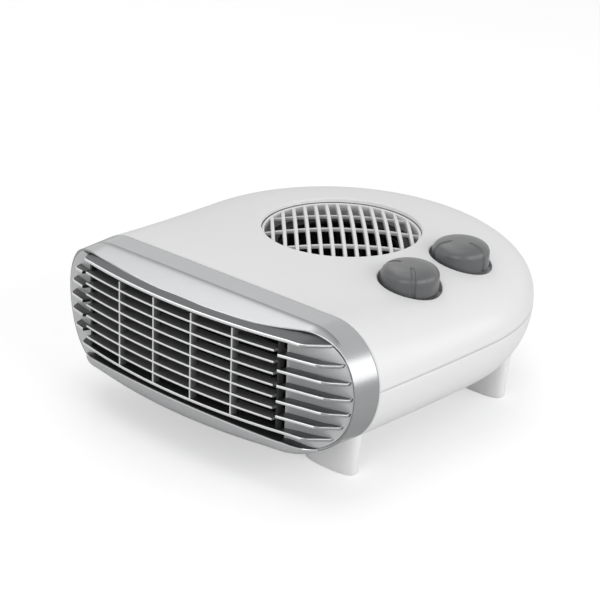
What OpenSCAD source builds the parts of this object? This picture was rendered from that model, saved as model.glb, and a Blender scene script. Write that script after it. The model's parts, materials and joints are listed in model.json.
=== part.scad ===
// Flat fan heater: a horseshoe-shaped housing with a silver outlet at the front,
// a round intake on top, two knobs and four feet. Millimetres, feet at z = 0,
// front towards -Y. The modules measure y from the seam between bezel and
// housing, and centred() moves each part so that the origin is under the middle.

/* [Housing] */
// Radius of the round rear, also half of the greatest width
body_r = 117; // [110:1:125]
// Distance from the front seam to the centre of the round rear
body_cy = 98; // [90:1:105]
// Half of the housing's width at the seam
seam_half = 112; // [108:0.5:116]
// Height of the upper housing over the parting line, at the seam
upper_h = 34.2; // [33:0.1:37]
// Rise of the dome's crown over the top at the seam
crown_rise = 4.2; // [3:0.1:6]
// Depth of the lower housing under the parting line
lower_h = 37.2; // [36:0.1:39]
// Width of the rounding along the top edge
top_round = 33; // [28:1:36]
// Width of the rounding along the bottom edge
bottom_round = 31; // [26:1:34]
// Wall of both housings
wall = 2.4; // [2:0.1:3]
// Open line between the two housings
parting_gap = 0.3; // [0.2:0.1:0.6]

/* [Front] */
// How far the bezel's rim stands ahead of the seam on the centre line
rim_reach = 38.5; // [34:0.5:42]
// Plan radius of the bezel's rim
rim_r = 323; // [280:1:380]
// How far ribs and louvres stand ahead of the seam on the centre line
rib_reach = 45; // [42:0.5:50]
// Plan radius of the ribs' front edges
rib_r = 384; // [340:1:440]
// Wall of the bezel
bezel_wall = 2.2; // [2:0.1:2.8]
// Distance from the seam to the crease of the hood
crease_y = 15; // [12:0.5:20]
// Height that the hood loses between crease and lip
hood_fall = 1.4; // [0.8:0.1:1.6]
// Height of the lower lip
chin_h = 8.3; // [6:0.1:9]
// Half of the clear width between the end panels
outlet_half = 73; // [68:0.5:78]
// Drop from the bezel's top to the middle of the top rib
top_rib_drop = 3.7; // [3.5:0.1:4.5]
// Rise of the bottom rib's middle over the lower lip
bottom_rib_rise = 5.7; // [5.2:0.1:7]
// Number of louvres between the two long ribs
louvre_count = 7; // [5:1:8]
// Thickness of a louvre
louvre_t = 1.2; // [1:0.1:1.6]
// Depth of a louvre at its ends
louvre_end_depth = 2.5; // [2:0.5:3.5]
// Number of upright bars
bar_count = 4; // [2:1:6]
// Thickness of a rib or fin
rib_t = 1.8; // [1.4:0.1:2.2]
// Number of fins on each end panel
fin_count = 5; // [3:1:7]
// Thickness of the end panels
panel_t = 2; // [1.6:0.1:2.6]

/* [Intake] */
// Radius of the intake opening
intake_r = 48; // [44:0.5:50]
// Number of thick bars in the guard
guard_bars = 13; // [9:1:15]
// Width of a thick bar
guard_bar_w = 2.4; // [2:0.1:3]
// Height of a thick bar
guard_bar_h = 3; // [2.5:0.1:4]
// Direction of the thick bars, in degrees from +X
guard_angle = 133.6; // [0:0.1:180]
// Wall of the guard's ring
guard_wall = 2.6; // [2:0.1:3.5]

/* [Controls] */
// Radius of a knob
knob_r = 17.1; // [15:0.1:18]
// Height of a knob from its lower edge to its crown
knob_h = 15; // [13:0.5:18]
// Gap between a knob's lower edge and the floor of its pocket
knob_lift = 3.8; // [3:0.1:5]
// Running gap between knob and pocket
knob_gap = 1.9; // [1.5:0.1:2.5]
// Depth of the knob pockets under the top at the seam
pocket_depth = 9; // [8:0.1:9.5]
// Sideways place of the front knob
front_knob_x = 75; // [74:0.5:76]
// Place of the front knob behind the seam
front_knob_y = 69; // [66:0.5:70]
// Sideways place of the rear knob
rear_knob_x = 73; // [72:0.5:75]
// Place of the rear knob behind the seam
rear_knob_y = 119; // [118:0.5:122]
// Radius of the control spindles
spindle_r = 3; // [2.5:0.1:3.5]

/* [Blower] */
// Outer radius of the fan wheel
wheel_r = 44; // [40:0.5:45]
// Height of the fan wheel
wheel_h = 33; // [28:0.5:33.5]
// Number of fan blades
blade_count = 30; // [20:1:36]
// Radius of the motor shaft
shaft_r = 2; // [1.5:0.1:2.5]
// Radius of the motor's rotor
rotor_r = 12.6; // [11:0.1:13]
// Air gap between rotor and stator
air_gap = 0.4; // [0.3:0.1:0.6]
// Height of the stator stack
stack_h = 12; // [10:0.5:12]
// Radial clearance of the shaft in its bushes
bush_clearance = 0.04; // [0.02:0.01:0.08]
// Gap between the wheel and the scroll wall
scroll_gap = 8; // [5:0.5:8]

/* [Heater] */
// Depth of the heater frame along the air flow
heater_depth = 14; // [12:0.5:16]
// Distance of the heater frame ahead of the seam
heater_front = 22; // [20:0.5:23]
// Height of one corrugated fin pack
pack_h = 8.6; // [7:0.1:8.6]
// Height of one ceramic heating bar
ceramic_h = 3; // [2.4:0.1:3]
// Pitch of the folds in a fin pack
fold_pitch = 3; // [2.4:0.1:4]

/* [Feet] */
// Height of the underside over the table
foot_h = 24.1; // [20:0.1:30]
// Length of a foot's lower end
foot_len = 28; // [22:1:34]
// Width of a foot's lower end
foot_w = 12; // [9:0.5:15]
// Sideways place of the feet
foot_x = 73; // [66:1:78]
// Place of the front feet behind the seam
front_foot_y = 10; // [9:0.5:14]
// Place of the rear feet behind the seam
rear_foot_y = 148; // [140:1:152]

/* [Fixings] */
// Radius of a housing screw's shank
screw_r = 1.6; // [1.4:0.1:1.8]
// Radius of a boss
boss_r = 4.6; // [4.2:0.1:5.5]
// Radius of the bore for the cord
cord_bore_r = 3.6; // [3:0.1:4.2]
// Clearance between parts that slide together
fit = 0.3; // [0.2:0.05:0.4]

/* [Hidden] */
$fn = 64;
steps = 10;
far = 400;
sliver = 0.01;
body_end = body_cy + body_r;
mid_y = (body_end - rib_reach) / 2;
// Powers of the dome's profile, which stays flat in the middle and falls off at the rim
dome_flat = 3;
dome_edge = 2.5;
dome_fn = 48;
under_z = foot_h;
part_z = under_z + lower_h;
top_z = part_z + upper_h;
crown_h = upper_h + crown_rise;
floor_z = under_z + wall;

// Blower levels, from the floor up
bush_h = 3.2;
bush_r = 4.5;
strap_t = 1.5;
strap_w = 12;
strap_pad = 8;
bush_stand = 0.4;
shaft_grip = 18;
limb_w = 11;
coil_grow = 3.2;
coil_l = 28;
strap_z = floor_z + 2.1;
stack_z = strap_z + 3.4;
top_strap_z = stack_z + stack_h + 1.6;
duct_z = top_strap_z + 2.6;
duct_t = 1.6;
wheel_z = duct_z + duct_t + 1.4;
duct_top_z = wheel_z + wheel_h + 1.6;
duct_waist = 53;
inlet_lap = 6;
guard_z = duct_top_z + duct_t;
ring_r = intake_r - fit;
scroll_r = wheel_r + scroll_gap;
fan_y = body_cy;
stator_half_y = 25;
stator_left = -42;
stator_right = 20;
motor_screw_y = 21;

// Control levels
pocket_r = knob_r + knob_gap;
pocket_z = top_z - pocket_depth;
knob_z = pocket_z + knob_lift;
cup_wall = 2;
cup_z = pocket_z - cup_wall;
bracket_t = 1.2;
bracket_w = 18;
control_top = cup_z - bracket_t;
control_h = 17;
thermostat_size = [20, 28];
selector_size = [22, 26];
hub_depth = 8;
post_r = 3.5;
bracket_x = (front_knob_x + rear_knob_x) / 2;
bracket_ys = [front_knob_y - pocket_r - cup_wall - 2.5, (front_knob_y + rear_knob_y) / 2,
    rear_knob_y + pocket_r + cup_wall + 2.5];
knob_places = [[front_knob_x, front_knob_y], [rear_knob_x, rear_knob_y]];

// Front levels
top_rib_z = top_z - top_rib_drop;
bottom_rib_z = under_z + chin_h + bottom_rib_rise;
louvre_pitch = (top_rib_z - bottom_rib_z) / (louvre_count + 1);
fin_pitch = (top_rib_z - bottom_rib_z) / (fin_count + 1);
louvre_half = outlet_half - 0.8;
proud = rib_reach - rim_reach;
fin_depth = proud + 4.5;
rib_depth = proud + 7.5;
chin_depth = proud + 2.5;
chin_round = chin_h - 0.8;
heater_half = outlet_half + 6.5;
heater_z0 = bottom_rib_z + 1.9;
heater_wall = 2.6;
pack_z0 = heater_z0 + heater_wall + fit;
heater_h = 2 * (heater_wall + fit) + 4 * pack_h + 3 * ceramic_h;
pack_half = heater_half - heater_wall - 3;

// Fixing places
boss_places = [[84, 36], [-84, 36], [62, body_cy + 65], [-62, body_cy + 65]];
duct_posts = [[46, 56], [-46, 56], [28, fan_y + 38.5], [-28, fan_y + 38.5]];
motor_posts = [[0, fan_y - motor_screw_y], [0, fan_y + motor_screw_y]];
foot_places = [[foot_x, front_foot_y], [-foot_x, front_foot_y],
    [foot_x, rear_foot_y], [-foot_x, rear_foot_y]];
small_screw_r = 1.4;
small_head_r = 2.6;
small_head_h = 1;
duct_screw_l = 9;
bracket_screw_l = 6;
thread_in = 12;
head_h = 2;
hole_end = 3;
thread_gap = 0.05;
screw_gap = 0.2;
spindle_gap = 1;
press_gap = 0.02;
peg_r = 3;
head_r = screw_r + 1.6;
head_z = under_z + 16;
terminal_size = [48, 12, 12];
terminal_poles = 4;
flat_floor_r = body_r - wall - bottom_round;
terminal_y = body_cy + sqrt(pow(flat_floor_r, 2) - pow(terminal_size[0] / 2, 2)) - terminal_size[1] - 1;
gland_l = 24;
gland_y = body_end - 17;
gland_z = floor_z + 18;
gland_r = cord_bore_r + 2;

// Right half of the section at the seam, drawn in by d: flat top and underside
// with elliptical roundings
function half_section(d) =
    let(hu = upper_h - d, hl = lower_h - d, a = top_round, b = bottom_round, w = seam_half - d)
    concat(
        [for (i = [0 : steps]) let(t = 90 - 90 * i / steps)
            [w - a + a * cos(t), part_z + hu * sin(t)]],
        [for (i = [1 : steps]) let(t = 90 * i / steps)
            [w - b + b * cos(t), part_z - hl * sin(t)]]);

// The whole section at the seam, drawn in by d
function full_section(d) =
    let(s = half_section(d), n = len(s))
    concat(s, [for (i = [n - 1 : -1 : 0]) [-s[i][0], s[i][1]]]);

// Half width of the seam's section at a height, drawn in by d
function half_width(z, d) =
    let(up = z > part_z, h = (up ? upper_h : lower_h) - d, a = up ? top_round : bottom_round,
        k = min(1, abs(z - part_z) / h))
    seam_half - d - a + a * sqrt(1 - k * k);

// Height of the dome at a distance from the axis of the round rear
function crown_z(r) = part_z + crown_h * pow(1 - pow(r / body_r, dome_flat), 1 / dome_edge);

// Place of a plan arc of radius r whose foremost point is at y = -reach
function arc_y(x, reach, r) = r - reach - sqrt(r * r - x * x);

// Profile of the round rear over the parting line, out to the given step
function dome_profile(d, last) = concat(
    [[0, part_z]],
    [for (i = [0 : last]) let(t = 90 * i / steps)
        [(body_r - d) * pow(sin(t), 2 / dome_flat), part_z + (crown_h - d) * pow(cos(t), 2 / dome_edge)]]);

// Profile of the round rear under the parting line
function bowl_profile(d) =
    let(w = body_r - d, b = bottom_round, hl = lower_h - d)
    concat(
        [[0, part_z]],
        [for (i = [0 : steps]) let(t = 90 * i / steps) [w - b + b * cos(t), part_z - hl * sin(t)]],
        [[0, part_z - hl]]);

// Moves a part from the seam's frame to the origin under the middle
module centred() {
    translate([0, -mid_y, 0]) children();
}

// Slice of the section at the seam, on one side of the parting line
module seam_slice(d, side) {
    translate([0, -d, 0]) rotate([90, 0, 0]) linear_extrude(sliver)
        polygon([for (p = full_section(d)) if ((p[1] - part_z) * side > -sliver) p]);
}

// Solid upper half, drawn in by d: the dome of the rear runs out into the seam's section
module upper_solid(d) {
    cap_steps = 4;
    hull() {
        seam_slice(d, 1);
        translate([0, body_cy, 0]) {
            rotate_extrude(angle = 180, $fn = dome_fn) polygon(dome_profile(d, steps));
            rotate_extrude($fn = dome_fn) polygon(dome_profile(d, cap_steps));
        }
    }
}

// Solid lower half, drawn in by d
module lower_solid(d) {
    hull() {
        seam_slice(d, -1);
        translate([0, body_cy, 0]) rotate_extrude(angle = 180, $fn = dome_fn) polygon(bowl_profile(d));
    }
}

// Everything from z0 to z1 behind the seam
module slab(z0, z1) {
    translate([-far / 2, 0, z0]) cube([far, far, z1 - z0]);
}

// Plan of the housing at the parting line, drawn in by d, from y0 on
module plan(d, y0 = 0) {
    taper = (body_r - seam_half) / body_cy;
    polygon(concat(
        [[-seam_half + d - taper * y0, y0], [seam_half - d + taper * y0, y0]],
        [for (i = [0 : dome_fn / 2]) let(t = 360 * i / dome_fn)
            [(body_r - d) * cos(t), body_cy + (body_r - d) * sin(t)]]));
}

// Straight prism of the bezel's section, from y = 0 forward by len
module front_prism(d, len) {
    rotate([90, 0, 0]) linear_extrude(len) polygon(full_section(d));
}

// Upright cylinder whose foremost point lies at y = -reach
module plan_disc(reach, r) {
    translate([0, r - reach, 0]) cylinder(h = far / 2, r = r, $fn = 180);
}

module upper_housing() {
    edge_z = part_z + parting_gap / 2;
    color("white") centred() difference() {
        intersection() {
            upper_solid(0);
            slab(edge_z, top_z + far);
        }
        difference() {
            upper_solid(wall);
            for (p = knob_places) translate([p[0], p[1], cup_z])
                cylinder(h = far, r = pocket_r + cup_wall);
            for (p = boss_places) translate([p[0], p[1], part_z - 1]) cylinder(h = far, r = boss_r);
            for (y = bracket_ys) translate([bracket_x, y, cup_z]) cylinder(h = far, r = post_r);
        }
        translate([0, fan_y, part_z + 10]) cylinder(h = far, r = intake_r);
        for (p = knob_places) {
            translate([p[0], p[1], pocket_z]) cylinder(h = far, r = pocket_r);
            translate([p[0], p[1], part_z]) cylinder(h = far, r = spindle_r + spindle_gap);
        }
        for (p = boss_places) translate([p[0], p[1], part_z - 1])
            cylinder(h = thread_in + hole_end, r = screw_r + thread_gap);
        for (y = bracket_ys) translate([bracket_x, y, cup_z - 1])
            cylinder(h = bracket_screw_l + 1, r = small_screw_r + thread_gap);
    }
}

module lower_housing() {
    edge_z = part_z - parting_gap / 2;
    color("white") centred() difference() {
        union() {
            difference() {
                intersection() {
                    lower_solid(0);
                    slab(0, edge_z);
                }
                lower_solid(wall);
            }
            for (p = boss_places) column(p, edge_z, boss_r);
            for (p = duct_posts) column(p, duct_z, post_r);
            for (p = motor_posts) column(p, strap_z, post_r);
            tongue();
        }
        for (p = boss_places) translate([p[0], p[1], 0]) {
            cylinder(h = far, r = screw_r + screw_gap);
            cylinder(h = head_z, r = head_r + screw_gap);
        }
        for (p = duct_posts) translate([p[0], p[1], duct_z - duct_screw_l])
            cylinder(h = 2 * duct_screw_l, r = small_screw_r + thread_gap);
        for (p = motor_posts) translate([p[0], p[1], floor_z - wall / 2])
            cylinder(h = far, r = small_screw_r + thread_gap);
        for (p = foot_places) translate([p[0], p[1], 0]) cylinder(h = part_z / 2, r = peg_r + screw_gap);
        translate([0, gland_y, gland_z]) rotate([90, 0, 0])
            cylinder(h = 80, r = gland_r + screw_gap, center = true);
        air_slots();
    }
}

// Column from the floor of the housing up to z1
module column(place, z1, r) {
    translate([place[0], place[1], floor_z - 1]) cylinder(h = z1 - floor_z + 1, r = r);
}

// Lip that locates the upper housing on the lower one
module tongue() {
    lip_t = 1.4;
    lip_h = 3;
    root_h = 4;
    front = 8;
    outer = wall + 2 * fit;
    translate([0, 0, part_z - root_h]) {
        linear_extrude(root_h - parting_gap) difference() {
            plan(wall - 2 * fit, front);
            plan(outer + lip_t, -1);
        }
        linear_extrude(root_h + lip_h) difference() {
            plan(outer, front);
            plan(outer + lip_t, -1);
        }
    }
}

// Slots in the underside that let air reach the motor
module air_slots() {
    slot_w = 3;
    slot_l = 22;
    pitch = 8;
    start = stator_half_y + 11;
    for (i = [-3 : 3]) translate([i * pitch - slot_w / 2, fan_y + start, under_z - 1])
        cube([slot_w, slot_l, wall + 2]);
}

module intake_guard() {
    inner_r = ring_r - guard_wall;
    rim_drop = 0.5;
    bar_drop = 0.8;
    flange_t = 1.6;
    rim_z = crown_z(ring_r) - rim_drop;
    flange_r = ring_r + guard_wall;
    flange_z = crown_z(flange_r) - wall - fit / 2;
    bar_z = rim_z - bar_drop - guard_bar_h;
    color("white") centred() translate([0, fan_y, 0]) {
        difference() {
            union() {
                translate([0, 0, guard_z]) cylinder(h = rim_z - guard_z, r = ring_r);
                translate([0, 0, flange_z - flange_t]) cylinder(h = flange_t, r = flange_r);
            }
            translate([0, 0, guard_z - 1]) cylinder(h = far, r = inner_r);
        }
        intersection() {
            translate([0, 0, guard_z]) cylinder(h = far / 4, r = inner_r + guard_wall / 2);
            union() {
                guard_bar_set(bar_z);
                guard_rib_set(bar_z);
            }
        }
    }
}

module guard_bar_set(z) {
    pitch = 2 * ring_r / (guard_bars + 1);
    rotate([0, 0, guard_angle])
        for (i = [1 : guard_bars])
            translate([-ring_r, i * pitch - ring_r - guard_bar_w / 2, z])
                cube([2 * ring_r, guard_bar_w, guard_bar_h]);
}

module guard_rib_set(z) {
    rib_w = 1.6;
    rib_h = 2;
    into_bar = 0.5;
    rotate([0, 0, guard_angle])
        for (i = [-1 : 1])
            translate([i * ring_r / 2 - rib_w / 2, -ring_r, z - rib_h])
                cube([rib_w, 2 * ring_r, rib_h + into_bar]);
}

module front_bezel() {
    slope = hood_fall / (rim_reach - crease_y);
    run = 60;
    color("silver") centred() {
        difference() {
            intersection() {
                front_prism(0, rib_reach + 5);
                plan_disc(rim_reach, rim_r);
            }
            translate([0, 1, 0]) front_prism(bezel_wall, rib_reach + 8);
            rotate([90, 0, 90]) translate([0, 0, -far / 2]) linear_extrude(far)
                polygon([[-crease_y, top_z], [-crease_y, top_z + run],
                    [-crease_y - run, top_z + run], [-crease_y - run, top_z - run * slope]]);
        }
        spigot();
        chin();
        heater_saddles();
    }
}

// Ribs inside the bezel that hold the heater frame from below and above
module heater_saddles() {
    rib_w = 4;
    depth = heater_depth - 4;
    heater_top = heater_z0 + heater_h;
    for (x = [-60, 0, 60]) translate([x - rib_w / 2, -heater_front + 2, 0]) {
        translate([0, 0, under_z + 1]) cube([rib_w, depth, heater_z0 - under_z - 1]);
        translate([0, 0, heater_top]) cube([rib_w, depth, top_z - 1.2 - heater_top]);
    }
}

// Collar of the bezel that reaches into the housing
module spigot() {
    depth = 6;
    collar = 1.6;
    inset = wall + fit;
    translate([0, depth, 0]) difference() {
        front_prism(inset, depth + 3);
        translate([0, 1, 0]) front_prism(inset + collar, depth + 6);
    }
    translate([0, -1, 0]) difference() {
        front_prism(bezel_wall - 0.2, 3);
        translate([0, 1, 0]) front_prism(inset + collar, 6);
    }
}

// Lower lip: a bar with a rounded lower front edge that follows the ribs
module chin() {
    root = chin_depth + 6;
    end_x = outlet_half + 23;
    intersection() {
        front_prism(0, rib_reach + 5);
        translate([0, rib_r - rib_reach, 0]) rotate([0, 0, 250]) rotate_extrude(angle = 40, $fn = 180)
            polygon(concat(
                [[rib_r - root, under_z], [rib_r - chin_round, under_z]],
                [for (i = [1 : 6]) let(t = 15 * i) [rib_r - chin_round + chin_round * sin(t),
                    under_z + chin_round - chin_round * cos(t)]],
                [[rib_r, under_z + chin_h], [rib_r - root, under_z + chin_h]]));
        linear_extrude(far) for (side = [0, 1]) mirror([side, 0])
            polygon(rib_outline(-sliver, end_x, chin_depth));
    }
}

// Plan outline of a rib from x0 to x1, its outer end rounded back to the panel
function rib_outline(x0, x1, depth) =
    let(bend = x1 - 8, yb = arc_y(bend, rib_reach, rib_r))
    concat(
        [for (i = [0 : 6]) let(x = x0 + (bend - x0) * i / 6) [x, arc_y(x, rib_reach, rib_r)]],
        [for (i = [1 : 6]) let(t = 15 * i) [bend + 8 * sin(t), yb + depth - depth * cos(t)]],
        [for (i = [0 : 6]) let(x = bend + (x0 - bend) * i / 6) [x, arc_y(x, rib_reach, rib_r) + depth]]);

module outlet_grille() {
    inset = bezel_wall + fit;
    color("silver") centred() {
        for (side = [0, 1]) mirror([side, 0, 0]) {
            end_panel(inset);
            for (i = [1 : fin_count]) let(z = top_rib_z - i * fin_pitch)
                translate([0, 0, z - rib_t / 2]) linear_extrude(rib_t)
                    polygon(rib_outline(outlet_half, half_width(z, inset + 0.5), fin_depth));
        }
        for (z = [top_rib_z, bottom_rib_z]) long_rib(z, inset);
    }
}

module end_panel(inset) {
    recess = 0.8;
    intersection() {
        front_prism(inset, rib_reach);
        difference() {
            plan_disc(rim_reach - recess, rim_r - recess);
            plan_disc(rim_reach - recess - panel_t, rim_r - recess - panel_t);
        }
        translate([outlet_half, -far, bottom_rib_z - rib_t / 2])
            cube([far, 2 * far, top_rib_z - bottom_rib_z + rib_t]);
    }
}

module long_rib(z, inset) {
    x1 = half_width(z + (z > part_z ? rib_t / 2 : -rib_t / 2), inset + 0.5);
    translate([0, 0, z - rib_t / 2]) linear_extrude(rib_t)
        for (side = [0, 1]) mirror([side, 0]) polygon(rib_outline(-sliver, x1, rib_depth));
}

module louvre_rack() {
    bar_pitch = 2 * louvre_half / (bar_count + 1);
    bar_low = bottom_rib_z + rib_t / 2;
    bar_depth = 5;
    back_y = arc_y(louvre_half, rib_reach, rib_r) + louvre_end_depth;
    color("silver") centred() {
        for (i = [1 : louvre_count])
            translate([0, 0, top_rib_z - i * louvre_pitch - louvre_t / 2])
                linear_extrude(louvre_t) intersection() {
                    translate([0, rib_r - rib_reach]) circle(r = rib_r, $fn = 180);
                    translate([-louvre_half, back_y - far]) square([2 * louvre_half, far]);
                }
        for (i = [0 : bar_count - 1]) let(x = (i - (bar_count - 1) / 2) * bar_pitch)
            translate([x - louvre_t / 2, arc_y(x, rib_reach, rib_r) + 0.8, bar_low])
                cube([louvre_t, bar_depth, top_rib_z - rib_t / 2 - bar_low]);
    }
}

module heater_frame() {
    color("dimgray") centred() difference() {
        translate([-heater_half, -heater_front, heater_z0])
            cube([2 * heater_half, heater_depth, heater_h]);
        translate([-heater_half + heater_wall, -heater_front - 1, heater_z0 + heater_wall])
            cube([2 * (heater_half - heater_wall), heater_depth + 2, heater_h - 2 * heater_wall]);
    }
}

module ceramic_bars() {
    color("darkgray") centred() for (i = [1 : 3])
        translate([-pack_half - 2.9, -heater_front + 2, pack_z0 + i * pack_h + (i - 1) * ceramic_h])
            cube([2 * pack_half + 5.8, heater_depth - 4, ceramic_h]);
}

// Corrugated strip folded between two levels
function folds(n, h, t) = concat(
    [for (i = [0 : n]) [(i - n / 2) * fold_pitch / 2, i % 2 == 0 ? 0 : h - t]],
    [for (i = [n : -1 : 0]) [(i - n / 2) * fold_pitch / 2, i % 2 == 0 ? t : h]]);

module fin_packs() {
    n = 2 * floor(pack_half * 2 / fold_pitch);
    color("darkslategray") centred() for (i = [0 : 3])
        translate([0, -heater_front + heater_depth - 1.5, pack_z0 + i * (pack_h + ceramic_h)])
            rotate([90, 0, 0]) linear_extrude(heater_depth - 3)
                polygon(folds(n, pack_h, 0.9));
}

module thermal_cutout() {
    plate = [18, 8, 0.8];
    disc_h = 2.8;
    color("silver") centred()
        translate([-30, -heater_front + heater_depth / 2, heater_z0 + heater_h]) {
            translate([-plate[0] / 2, -plate[1] / 2, 0]) cube(plate);
            cylinder(h = disc_h, r = plate[1] / 2);
        }
}

module thermal_fuse() {
    fuse_r = 2.5;
    fuse_l = 16;
    clip = [12, 3, fuse_r + 0.5];
    color("ivory") centred()
        translate([24, -heater_front + heater_depth / 2, heater_z0 - clip[2]]) {
            rotate([0, 90, 0]) cylinder(h = fuse_l, r = fuse_r);
            translate([(fuse_l - clip[0]) / 2, -clip[1] / 2, 0]) cube(clip);
        }
}

// Plan outline of the duct, drawn in by d
module duct_plan(d, ahead = 0) {
    front = heater_depth - heater_front - ahead;
    translate([0, fan_y]) circle(r = scroll_r + duct_t - d);
    polygon(concat(
        [for (s = [-1, 1]) [s * (heater_half - d), front]],
        [for (p = [[heater_half, 16], [duct_waist, 60], [scroll_r + duct_t, fan_y]])
            [p[0] - d, p[1]]],
        [for (p = [[scroll_r + duct_t, fan_y], [duct_waist, 60], [heater_half, 16]])
            [-p[0] + d, p[1]]]));
}

module fan_scroll() {
    motor_hole_r = 10;
    color("dimgray") centred() difference() {
        translate([0, 0, duct_z]) linear_extrude(duct_top_z - duct_z) duct_plan(0);
        translate([0, 0, duct_z + duct_t]) linear_extrude(far / 4) duct_plan(duct_t, 1);
        translate([0, fan_y, 0]) cylinder(h = far, r = motor_hole_r);
        for (p = duct_posts) translate([p[0], p[1], 0]) cylinder(h = far, r = small_screw_r + screw_gap);
    }
}

module inlet_ring() {
    color("dimgray") centred() difference() {
        translate([0, 0, duct_top_z]) linear_extrude(duct_t) duct_plan(0);
        translate([0, fan_y, 0]) cylinder(h = far, r = wheel_r - inlet_lap);
    }
}

module duct_screws() {
    color("silver") centred() for (p = duct_posts)
        small_screw([p[0], p[1], duct_z + duct_t], duct_screw_l);
}

// Screw whose head stands on the given point, with its shank pointing down
module small_screw(place, length) {
    translate(place) {
        cylinder(h = small_head_h, r = small_head_r);
        translate([0, 0, -length]) cylinder(h = length, r = small_screw_r);
    }
}

module fan_wheel() {
    disc_t = 1.6;
    rim_h = 2;
    blade_l = 8;
    blade_t = 1;
    blade_lean = 25;
    blade_in = wheel_r - blade_l;
    wheel_hub_r = 3 * shaft_r;
    color("gray") centred() translate([0, fan_y, wheel_z]) difference() {
        union() {
            cylinder(h = disc_t, r = wheel_r);
            cylinder(h = shaft_grip + 2, r = wheel_hub_r);
            for (i = [0 : blade_count - 1]) rotate([0, 0, i * 360 / blade_count])
                translate([blade_in, 0, disc_t / 2]) rotate([0, 0, blade_lean])
                    translate([0, -blade_t / 2, 0])
                        cube([0.95 * blade_l, blade_t, wheel_h - disc_t / 2 - rim_h / 2]);
            translate([0, 0, wheel_h - rim_h]) difference() {
                cylinder(h = rim_h, r = wheel_r);
                translate([0, 0, -1]) cylinder(h = rim_h + 2, r = blade_in + 1);
            }
        }
        translate([0, 0, -1]) cylinder(h = far, r = shaft_r + press_gap);
    }
}

module motor_shaft() {
    low = strap_z - 2 * bush_stand;
    color("silver") centred() translate([0, fan_y, low])
        cylinder(h = wheel_z + shaft_grip - low, r = shaft_r);
}

module motor_rotor() {
    proud_end = 0.5;
    color("gray") centred() translate([0, fan_y, stack_z - proud_end]) difference() {
        cylinder(h = stack_h + 2 * proud_end, r = rotor_r);
        translate([0, 0, -1]) cylinder(h = stack_h + 3, r = shaft_r + press_gap);
    }
}

module motor_stator() {
    window = [10, coil_l + 2];
    color("silver") centred() difference() {
        translate([stator_left, fan_y - stator_half_y, stack_z])
            cube([stator_right - stator_left, 2 * stator_half_y, stack_h]);
        translate([0, fan_y, 0]) cylinder(h = far, r = rotor_r + air_gap);
        translate([stator_left + limb_w, fan_y - window[1] / 2, 0]) cube([window[0], window[1], far]);
        for (p = motor_posts) translate([p[0], p[1], 0]) cylinder(h = far, r = small_screw_r + screw_gap);
    }
}

module motor_coil() {
    color("chocolate") centred() difference() {
        translate([stator_left - coil_grow, fan_y - coil_l / 2, stack_z - coil_grow])
            cube([limb_w + 2 * coil_grow, coil_l, stack_h + 2 * coil_grow]);
        translate([stator_left, fan_y - coil_l, stack_z]) cube([limb_w, 2 * coil_l, stack_h]);
    }
}

// Bearing strap at height z, with a pad at each end that reaches to the stack at pad_z
module strap(z, pad_z) {
    low = min(z, pad_z);
    high = max(z + strap_t, pad_z);
    difference() {
        union() {
            translate([-strap_w / 2, fan_y - stator_half_y, z])
                cube([strap_w, 2 * stator_half_y, strap_t]);
            for (p = motor_posts) translate([-strap_w / 2, p[1] - strap_pad / 2, low])
                cube([strap_w, strap_pad, high - low]);
        }
        translate([0, fan_y, 0]) cylinder(h = far, r = bush_r + thread_gap);
        for (p = motor_posts) translate([p[0], p[1], 0]) cylinder(h = far, r = small_screw_r + screw_gap);
    }
}

module lower_bearing_bracket() {
    color("silver") centred() strap(strap_z, stack_z);
}

module upper_bearing_bracket() {
    color("silver") centred() strap(top_strap_z, stack_z + stack_h);
}

module bush(z) {
    translate([0, fan_y, z]) difference() {
        cylinder(h = bush_h, r = bush_r);
        translate([0, 0, -1]) cylinder(h = bush_h + 2, r = shaft_r + bush_clearance);
    }
}

module bearing_bushes() {
    color("goldenrod") centred() {
        bush(strap_z - bush_stand);
        bush(top_strap_z - 2 * bush_stand);
    }
}

module motor_screws() {
    head_seat = top_strap_z + strap_t;
    color("silver") centred() for (p = motor_posts)
        small_screw([p[0], p[1], head_seat], head_seat - floor_z);
}

// Outside of a knob, drawn in by d: a domed top that rounds over into a straight side
module knob_form(d) {
    crown = 5.5;
    round_r = 9;
    rim = 0.6;
    skirt = knob_h - crown;
    rotate_extrude() polygon(concat([[0, 0], [knob_r - d, 0]],
        [for (i = [0 : 8]) let(t = 90 * i / 8)
            [knob_r - d - round_r + round_r * cos(t), skirt - d + (crown - rim) * sin(t)]],
        [[0, knob_h - d]]));
}

// Knob turned on its own axis, with a hub and three shallow grooves down its side
module knob(place, turn) {
    skirt = knob_h - 5.5;
    shell = 2;
    hub_r = spindle_r + 2;
    groove_w = 2;
    groove_depth = 0.8;
    groove_start = 7;
    translate([place[0], place[1], knob_z]) difference() {
        union() {
            difference() {
                knob_form(0);
                translate([0, 0, -1]) cylinder(h = skirt, r = knob_r - shell);
            }
            cylinder(h = skirt, r = hub_r);
        }
        translate([0, 0, -1]) cylinder(h = hub_depth + 1, r = spindle_r + press_gap);
        difference() {
            for (a = [0, 120, 240]) rotate([0, 0, turn + a])
                translate([groove_start, -groove_w / 2, -1]) cube([knob_r, groove_w, knob_h + 2]);
            knob_form(groove_depth);
        }
    }
}

module thermostat_knob() {
    color("dimgray") centred() knob(knob_places[0], 75);
}

module selector_knob() {
    color("dimgray") centred() knob(knob_places[1], 118);
}

module spindle(place) {
    low = control_top - 6;
    translate([place[0], place[1], low]) cylinder(h = knob_z + hub_depth - low, r = spindle_r);
}

module thermostat_spindle() {
    color("silver") centred() spindle(knob_places[0]);
}

module selector_spindle() {
    color("silver") centred() spindle(knob_places[1]);
}

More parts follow.
